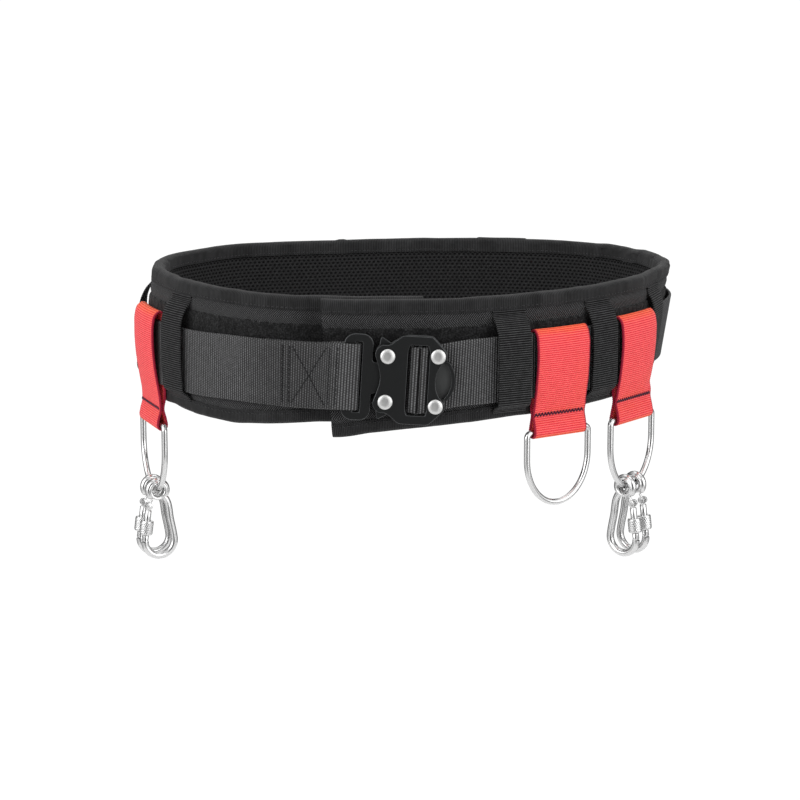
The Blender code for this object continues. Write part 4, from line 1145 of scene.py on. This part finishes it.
def gathered(name, parts, look):            # several meshes with their places, as one mesh
    bm = bmesh.new()
    for mesh, place in parts:
        first = len(bm.verts)
        bm.from_mesh(mesh)
        bm.verts.ensure_lookup_table()
        bmesh.ops.transform(bm, matrix=place, verts=bm.verts[first:])
    mesh = bpy.data.meshes.new(name)
    bm.to_mesh(mesh)
    bm.free()
    mesh.materials.append(look)
    mesh.shade_smooth()
    mesh.set_sharp_from_angle(angle=math.radians(50))
    return mesh


def ringAxes(place, out, bar):
    along, way = planTangent(place), outwardAt(place)
    axes = Matrix(((along[0], -way[0], 0), (along[1], -way[1], 0), (0, 0, 1))).to_4x4()
    spot = planPoint(place) + out * way
    axes.translation = Vector((spot[0], spot[1], bar)) * mm
    return axes


def ringLine():
    half, corner, oval = ring["half"], ring["corner"], ring["oval"]
    low = -(ring["deep"] - oval)
    right = arcPoints((half - corner, -corner), corner, 90, 0, 11)
    right += [(half, z) for z in np.linspace(-corner, low, 9)[1:-1]]
    right += [(half * math.cos(a), low - oval * math.sin(a))
              for a in np.radians(np.linspace(0, 88.5, 44))]
    left = [(-x, 0, z) for x, z in reversed(right)]
    return [(x, 0, z) for x, z in right] + [(0, 0, -ring["deep"])] + left


def ringDrop(offset):
    return -(ring["deep"] - ring["oval"]) - ring["oval"] * math.sqrt(1 - (offset / ring["half"]) ** 2)


def gatePoint(height):
    x, z = hook["start"]
    return Vector((-x - (z - height) * math.tan(math.radians(hook["lean"])), 0, height))


def hookBodyMesh():
    lean = math.radians(hook["lean"])
    sx, sz = hook["start"]
    radius = sx * math.cos(lean) + sz * math.sin(lean) - hook["lowest"] * math.sin(lean)
    radius /= 1 + math.sin(lean)
    centre = hook["lowest"] + radius
    touch = (radius * math.cos(lean), centre + radius * math.sin(lean))
    corners = [(3.9, -4.4), (4.9, -5.9), (5.7, -7.0), (sx, sz), ((sx + touch[0]) / 2, (sz + touch[1]) / 2)]
    turns = lean - (math.pi + 2 * lean) * np.linspace(0, 1, 26)
    corners += [(radius * math.cos(a), centre + radius * math.sin(a)) for a in turns]
    nose, step = gatePoint(hook["gateEnd"] - gap), gatePoint(hook["gateEnd"] - 4.2)
    line, along, _ = resample(corners + [(step.x, step.z)], 0.9)
    thin = hook["gateWire"] / hook["wire"]
    points = [(x, 0, z) for x, z in line]
    points += [(step.x, 0, step.z + 0.02), (nose.x, 0, nose.z - 0.3), tuple(nose)]
    radii = [1.0] * len(line) + [thin, thin, thin * 0.86]
    wire = wireObject("hookWire", points, hook["wire"], False, radii)
    arc = [(hook["eyeRing"] + hook["eyeWire"] * math.cos(a), hook["eyeWire"] * math.sin(a))
           for a in np.radians(np.linspace(-78, 78, 17))]
    flange = 3.3
    lip = [(hook["flange"] - 0.35, -flange), (hook["flange"], -flange + 0.3)]
    bore = [(hook["hole"] + 0.7 * (1 - math.sin(a)), flange - 0.2 - 1.2 * (1 - math.cos(a)))
            for a in np.radians((0, 30, 60, 90))]
    section = lip + arc + [(r, -z) for r, z in reversed(lip)] + [(hook["hole"] + 1.0, flange)] + bore
    section += [(r, -z) for r, z in reversed(bore)] + [(hook["hole"] + 1.0, -flange)]
    eye = turnedMesh(section, 64)
    for vertex in eye.vertices:             # the wire wraps all but the eyelet's lowest part
        reach = math.hypot(vertex.co.x, vertex.co.y)
        spare = reach - hook["flange"] * mm
        if spare > 0:
            bare = float(smoothStep(0.62, 0.86, -vertex.co.y / reach))
            vertex.co.xy *= (reach - spare * bare) / reach
    upright = Matrix.Rotation(math.radians(90), 4, "X")
    hinge = Vector((hook["hinge"][0], 0, hook["hinge"][1])) * mm
    lug = turnedMesh(softDisc(2.0, -0.8, 0.8, 0.2), 28)
    stem = wireObject("stem", [tuple(hinge / mm), tuple(hinge / mm * 0.6)], 0.8, False)
    return gathered("hookBody", [
        (wire, Matrix.Identity(4)), (eye, upright), (lug, Matrix.Translation(hinge) @ upright),
        (stem, Matrix.Identity(4)),
    ], looks["steel"])


def hookGateMesh():
    hinge = Vector((hook["hinge"][0], 0, hook["hinge"][1]))
    upright = Matrix.Translation(hinge * mm) @ Matrix.Rotation(math.radians(90), 4, "X")
    end = gatePoint(hook["gateEnd"])
    way = (end - hinge).normalized()
    long = (end - hinge).length
    line = [tuple(hinge + way * d) for d in (2.9, 3.4, 9.0, long - 0.3, long)]
    rod = wireObject("gateRod", line, hook["gateWire"], False, (0.8, 1.0, 1.0, 1.0, 0.86))
    parts = [(rod, Matrix.Identity(4))]
    for nearSide, high in ((-2.5, -1.1), (1.1, 2.5)):
        parts.append((turnedMesh(softDisc(2.45, nearSide, high, 0.3), 32), upright))
        start = hinge + Vector((0, (nearSide + high) / 2, 0))
        cheek = wireObject("cheek", [tuple(start + way * d) for d in (0.5, 3.6)], 0.68, False)
        parts.append((cheek, Matrix.Identity(4)))
    for nearSide, high in ((-2.85, -2.45), (2.45, 2.85)):
        parts.append((turnedMesh(softDisc(1.15, nearSide, high, 0.25), 24), upright))
    return gathered("hookGate", parts, looks["steel"])


def sleeveMesh():
    long, out, bore = hook["sleeveLong"], hook["sleeveOut"], hook["gateWire"] + gap
    angles = np.linspace(0, 2 * math.pi, hook["knurls"] * 6, endpoint=False)
    ends = np.array([0, 0.35, 0.8, 0.95])
    along = np.concatenate([ends, np.linspace(1.1, long - 1.1, 36), long - ends[::-1]])
    twist = hook["knurls"] / 2
    a, z = np.meshgrid(angles, along, indexing="ij")
    lean = 2 * math.pi * z / 2.6
    diamonds = np.abs(np.sin(twist * a + lean / 2)) * np.abs(np.sin(twist * a - lean / 2))
    knurled = (z > 1.05) & (z < long - 1.05)
    radius = np.where(knurled, out - 0.16 + 0.16 * np.minimum(1, 1.5 * diamonds), out - 0.12)
    rim = np.minimum(z, long - z)
    radius = radius - np.clip(0.5 - rim, 0, 0.5) * 0.9
    outer = np.stack([radius * np.cos(a), radius * np.sin(a), z], -1)
    inner = np.stack([bore * np.cos(angles), bore * np.sin(angles)], -1)
    high = np.concatenate([inner, np.full((len(angles), 1), long)], 1)
    low = np.concatenate([inner, np.full((len(angles), 1), 0.0)], 1)
    points = np.concatenate([outer, high[:, None], low[:, None]], 1) * mm
    uv = np.zeros((len(angles) + 1, points.shape[1] + 1, 2))
    thing = gridObject("sleeveShape", points, uv, looks["steel"], closedRows=True, body=None)
    mesh = thing.data
    bpy.data.objects.remove(thing, do_unlink=True)
    hinge = Vector((hook["hinge"][0], 0, hook["hinge"][1]))
    way = (hinge - gatePoint(hook["gateEnd"])).normalized()
    turn = Matrix.Rotation(math.atan2(way.x, way.z), 4, "Y")
    mesh.transform(Matrix.Translation(gatePoint(hook["gateEnd"] + 0.2) * mm) @ turn)
    mesh.set_sharp_from_angle(angle=math.radians(38))
    return mesh


def makeRingsAndHooks():
    meshes = {"hook": hookBodyMesh(), "gate": hookGateMesh(), "sleeve": sleeveMesh()}
    ringMesh = wireObject("ringWire", ringLine(), ring["wire"], True)
    ringMesh.materials.append(looks["steel"])
    ringMesh.shade_smooth()
    for side, place, fold, seam, bar, hooked in drops:
        axes = ringAxes(place, strap["back"] + (strap["thick"] + gap) / 2, bar)
        loopRing = linked("steelRing" + side.capitalize(), ringMesh)
        loopRing.matrix_world = axes
        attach(loopRing, "ring_" + side)
        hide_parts("ring_" + side)
        if not hooked:
            continue
        nearer = -1 if side == "right" else 1
        for end, sign in (("front", nearer), ("rear", -nearer)):
            offset = sign * hook["spread"]
            at = axes @ Matrix.Translation((offset * mm, 0, ringDrop(offset) * mm))
            at = at @ Matrix.Rotation(math.radians(90), 4, "Z")
            at = at @ Matrix.Rotation(math.radians(hook["tilt"]), 4, "Y")
            at = at @ Matrix.Translation((0, 0, -hook["eyeDrop"] * mm))
            for kind, mesh in meshes.items():
                piece = linked(kind + side.capitalize() + end.capitalize(), mesh)
                piece.matrix_world = at
                node = f"{kind}_{side}_{end}"
                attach(piece, node)
                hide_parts(node)


makeRingsAndHooks()
print("rings and snap hooks made")

# ---- buckle: bevelled plates, levers, bar and rivets


def mirrored(upper):
    return upper + [(x, -z) for x, z in reversed(upper) if abs(z) > 0.01]


def softened(points, rounds=2, cut=0.18):   # corner cutting, so that no outline has a hard corner
    points = np.array(points, float)
    for _ in range(rounds):
        ahead = np.roll(points, -1, 0)
        step = (ahead - points) * cut
        points = np.stack([points + step, ahead - step], 1).reshape(-1, 2)
    return points


def plateMesh(loops, layer, bevel, place):
    curve = bpy.data.curves.new("plate", "CURVE")
    curve.dimensions = "2D"
    curve.fill_mode = "BOTH"
    curve.extrude = ((layer[1] - layer[0]) / 2 - bevel) * mm
    curve.bevel_depth = bevel * mm
    curve.bevel_resolution = 3
    curve.offset = -bevel * mm
    for points in loops:
        spline = curve.splines.new("POLY")
        spline.points.add(len(points) - 1)
        for knot, (x, z) in zip(spline.points, points):
            knot.co = (x * mm, z * mm, 0.0, 1.0)
        spline.use_cyclic_u = True
    thing = linked("plate", curve)
    bpy.context.view_layer.update()
    mesh = bpy.data.meshes.new_from_object(thing.evaluated_get(bpy.context.evaluated_depsgraph_get()))
    bpy.data.objects.remove(thing, do_unlink=True)
    mesh.transform(place @ Matrix.Translation((0, 0, (layer[0] + layer[1]) / 2 * mm)))
    return mesh


def metalPiece(name, meshes, node, body, highlightFrom=0.35, look="blackMetal"):
    mesh = gathered(name, [(part, Matrix.Identity(4)) for part in meshes], looks[look])
    mesh.materials.append(looks["bevelHighlight"])
    out = buckleFrame.to_3x3() @ Vector((0, 0, 1))
    # bevel faces partly turned outward take the lighter finish: a painted edge highlight
    for face in mesh.polygons:
        lean = face.normal.dot(out)
        if highlightFrom < lean < 0.93:
            face.material_index = 1
    mesh.set_sharp_from_angle(angle=math.radians(35))
    piece = linked(name, mesh)
    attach(piece, body)
    if node:
        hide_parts(node)


def ringHole(x, z, radius):
    return arcPoints((x, z), radius, 0, 352, 45)


def slotHole():
    left, right, half = buckle["slot"]
    return softened([(left, -half), (right, -half), (right, half), (left, half)], 3, 0.08)


def makePlates():
    holes = [ringHole(x, z, buckle["rivetShank"] + gap) for _, _, x, z in buckle["rivets"]]
    upper = mirrored([
        (17.2, 0), (17.9, 5.5), (20.0, 10.5), *arcPoints((18.6, 16.8), 5.6, -25, 40, 9),
        (16.6, 27.0), (14.2, 29.2), (12.6, 29.6), (-4.4, 29.6), (-6.4, 29.0), (-13.8, 22.8),
        *arcPoints((-16.6, 16.4), 6.6, 105, 190, 11), (-21.0, 9.0), (-19.6, 4.0), (-19.2, 0),
    ])
    top = plateMesh([softened(upper), slotHole(), *holes], buckle["top"], 0.42, buckleFrame)
    metalPiece("buckleTopPlate", [top], "buckle_top_plate", "belt")
    lower = mirrored([
        (28.4, 0), (28.0, 5.0), (26.6, 10.0), (24.2, 14.6), *arcPoints((18.6, 16.8), 5.6, 0, 40, 5),
        (16.6, 27.0), (14.2, 29.2), (-4.4, 29.2), (-13.8, 22.6),
        *arcPoints((-16.6, 16.4), 6.3, 105, 190, 9), (-20.6, 9.0), (-19.2, 4.0), (-18.8, 0),
    ])
    base = plateMesh([softened(lower), slotHole(), *holes], buckle["bottom"], 0.3, buckleFrame)
    rim = arcPoints((11.0, 0), 19.6, 42, -42, 33) + arcPoints((9.4, 0), 18.6, -43, 43, 33)
    lip = plateMesh([rim], (buckle["bottom"][0] + 0.4, 8.0), 0.3, buckleFrame)
    # the bottom plate's lighter finish is a painted reflection
    metalPiece("buckleBottomPlate", [base], "buckle_bottom_plate", "belt", look="lensReflectionMetal")
    metalPiece("buckleEndLip", [lip], None, "belt")


def makeMaleFrame():
    bar, end = buckle["frameBar"], buckle["frameSlotEnd"]
    upper = mirrored([
        (-3.2, 0), (-3.2, 6.6), (-5.0, 9.2), (-7.6, 9.8), (-7.6, 8.2), (-12.4, 8.2), (-12.4, 9.8),
        (-24.6, 10.4), (-24.6, 17.6), *arcPoints((-31.8, 21.6), 7.4, 0, 90, 11), (-36.0, 29.0),
        *arcPoints((-36.4, 21.4), 7.6, 95, 180, 9), (bar[0], 0),
    ])
    opening = [(bar[1], -23.6), (end, -23.6), (end, 23.6), (bar[1], 23.6)]
    loops = [softened(upper, 2, 0.12), softened(opening, 3, 0.05)]
    mesh = plateMesh(loops, buckle["lever"], 0.55, buckleFrame)
    metalPiece("buckleMaleFrame", [mesh], "buckle_male_frame", "belt")


def makeLevers():
    _, _, x, z = buckle["rivets"][0]
    for name, node, side in (("leverUpper", "lever_upper", 1), ("leverLower", "lever_lower", -1)):
        outline = [
            *arcPoints((x, z), 4.3, 230, 290, 7), (x + 3.1, 11.2), (x + 3.1, 8.6), (x + 5.6, 8.6),
            (x + 6.8, z - 2.5), (x + 4.6, z + 3.2), (x + 1.4, 24.4), (-19.7, 27.9), (-20.9, 21.6),
            *arcPoints((x, z), 4.6, 130, 190, 7),
        ]
        loops = [[(px, side * pz) for px, pz in points]
                 for points in (softened(outline, 2, 0.12), ringHole(x, z, buckle["rivetShank"] + gap))]
        mesh = plateMesh(loops, buckle["lever"], 0.4, buckleFrame)
        metalPiece(name, [mesh], node, node)


def makeBarAndRivets():
    x, t = buckle["bar"]
    bar = wireObject("bar", [(x, z, t) for z in (-26.0, -25.6, 0, 25.6, 26.0)], buckle["barRadius"], False,
                     (0.8, 1, 1, 1, 0.8))
    bar.transform(buckleFrame)
    metalPiece("adjusterBar", [bar], "adjuster_bar", "belt", highlightFrom=2)
    face, end = buckle["top"][1] + 0.05, buckle["bottom"][0] + 0.3
    wide, shank, dome = buckle["rivetHead"], buckle["rivetShank"], buckle["rivetDome"]
    head = [(wide * math.sin(a), face + 0.45 + (dome - 0.45) * math.cos(a))
            for a in np.radians(np.arange(0, 91, 6))]
    rim = [(wide, face + 0.3), (wide - 0.15, face)]
    mesh = turnedMesh(head + rim + [(shank, face), (shank, end), (0.0, end)], 56)
    dimpleWide, dimpleTall, dimpleDeep = buckle["rivetDimple"]
    for vertex in mesh.vertices:            # a shallow tall dimple on each dome
        px, pz, pt = (c / mm for c in vertex.co)
        dip = math.exp(-((px / dimpleWide) ** 2 + (pz / dimpleTall) ** 2) ** 2)
        if pt > face + 0.6:
            vertex.co.z -= dimpleDeep * dip * mm
    mesh = gathered("rivetShape", [(mesh, Matrix.Identity(4))], looks["rivetSteel"])
    for name, node, x, z in buckle["rivets"]:
        rivet = linked(name, mesh)
        rivet.matrix_world = buckleFrame @ Matrix.Translation((x * mm, z * mm, 0))
        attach(rivet, "belt")
        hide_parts(node)


makePlates()
makeMaleFrame()
makeLevers()
makeBarAndRivets()
print("buckle made")
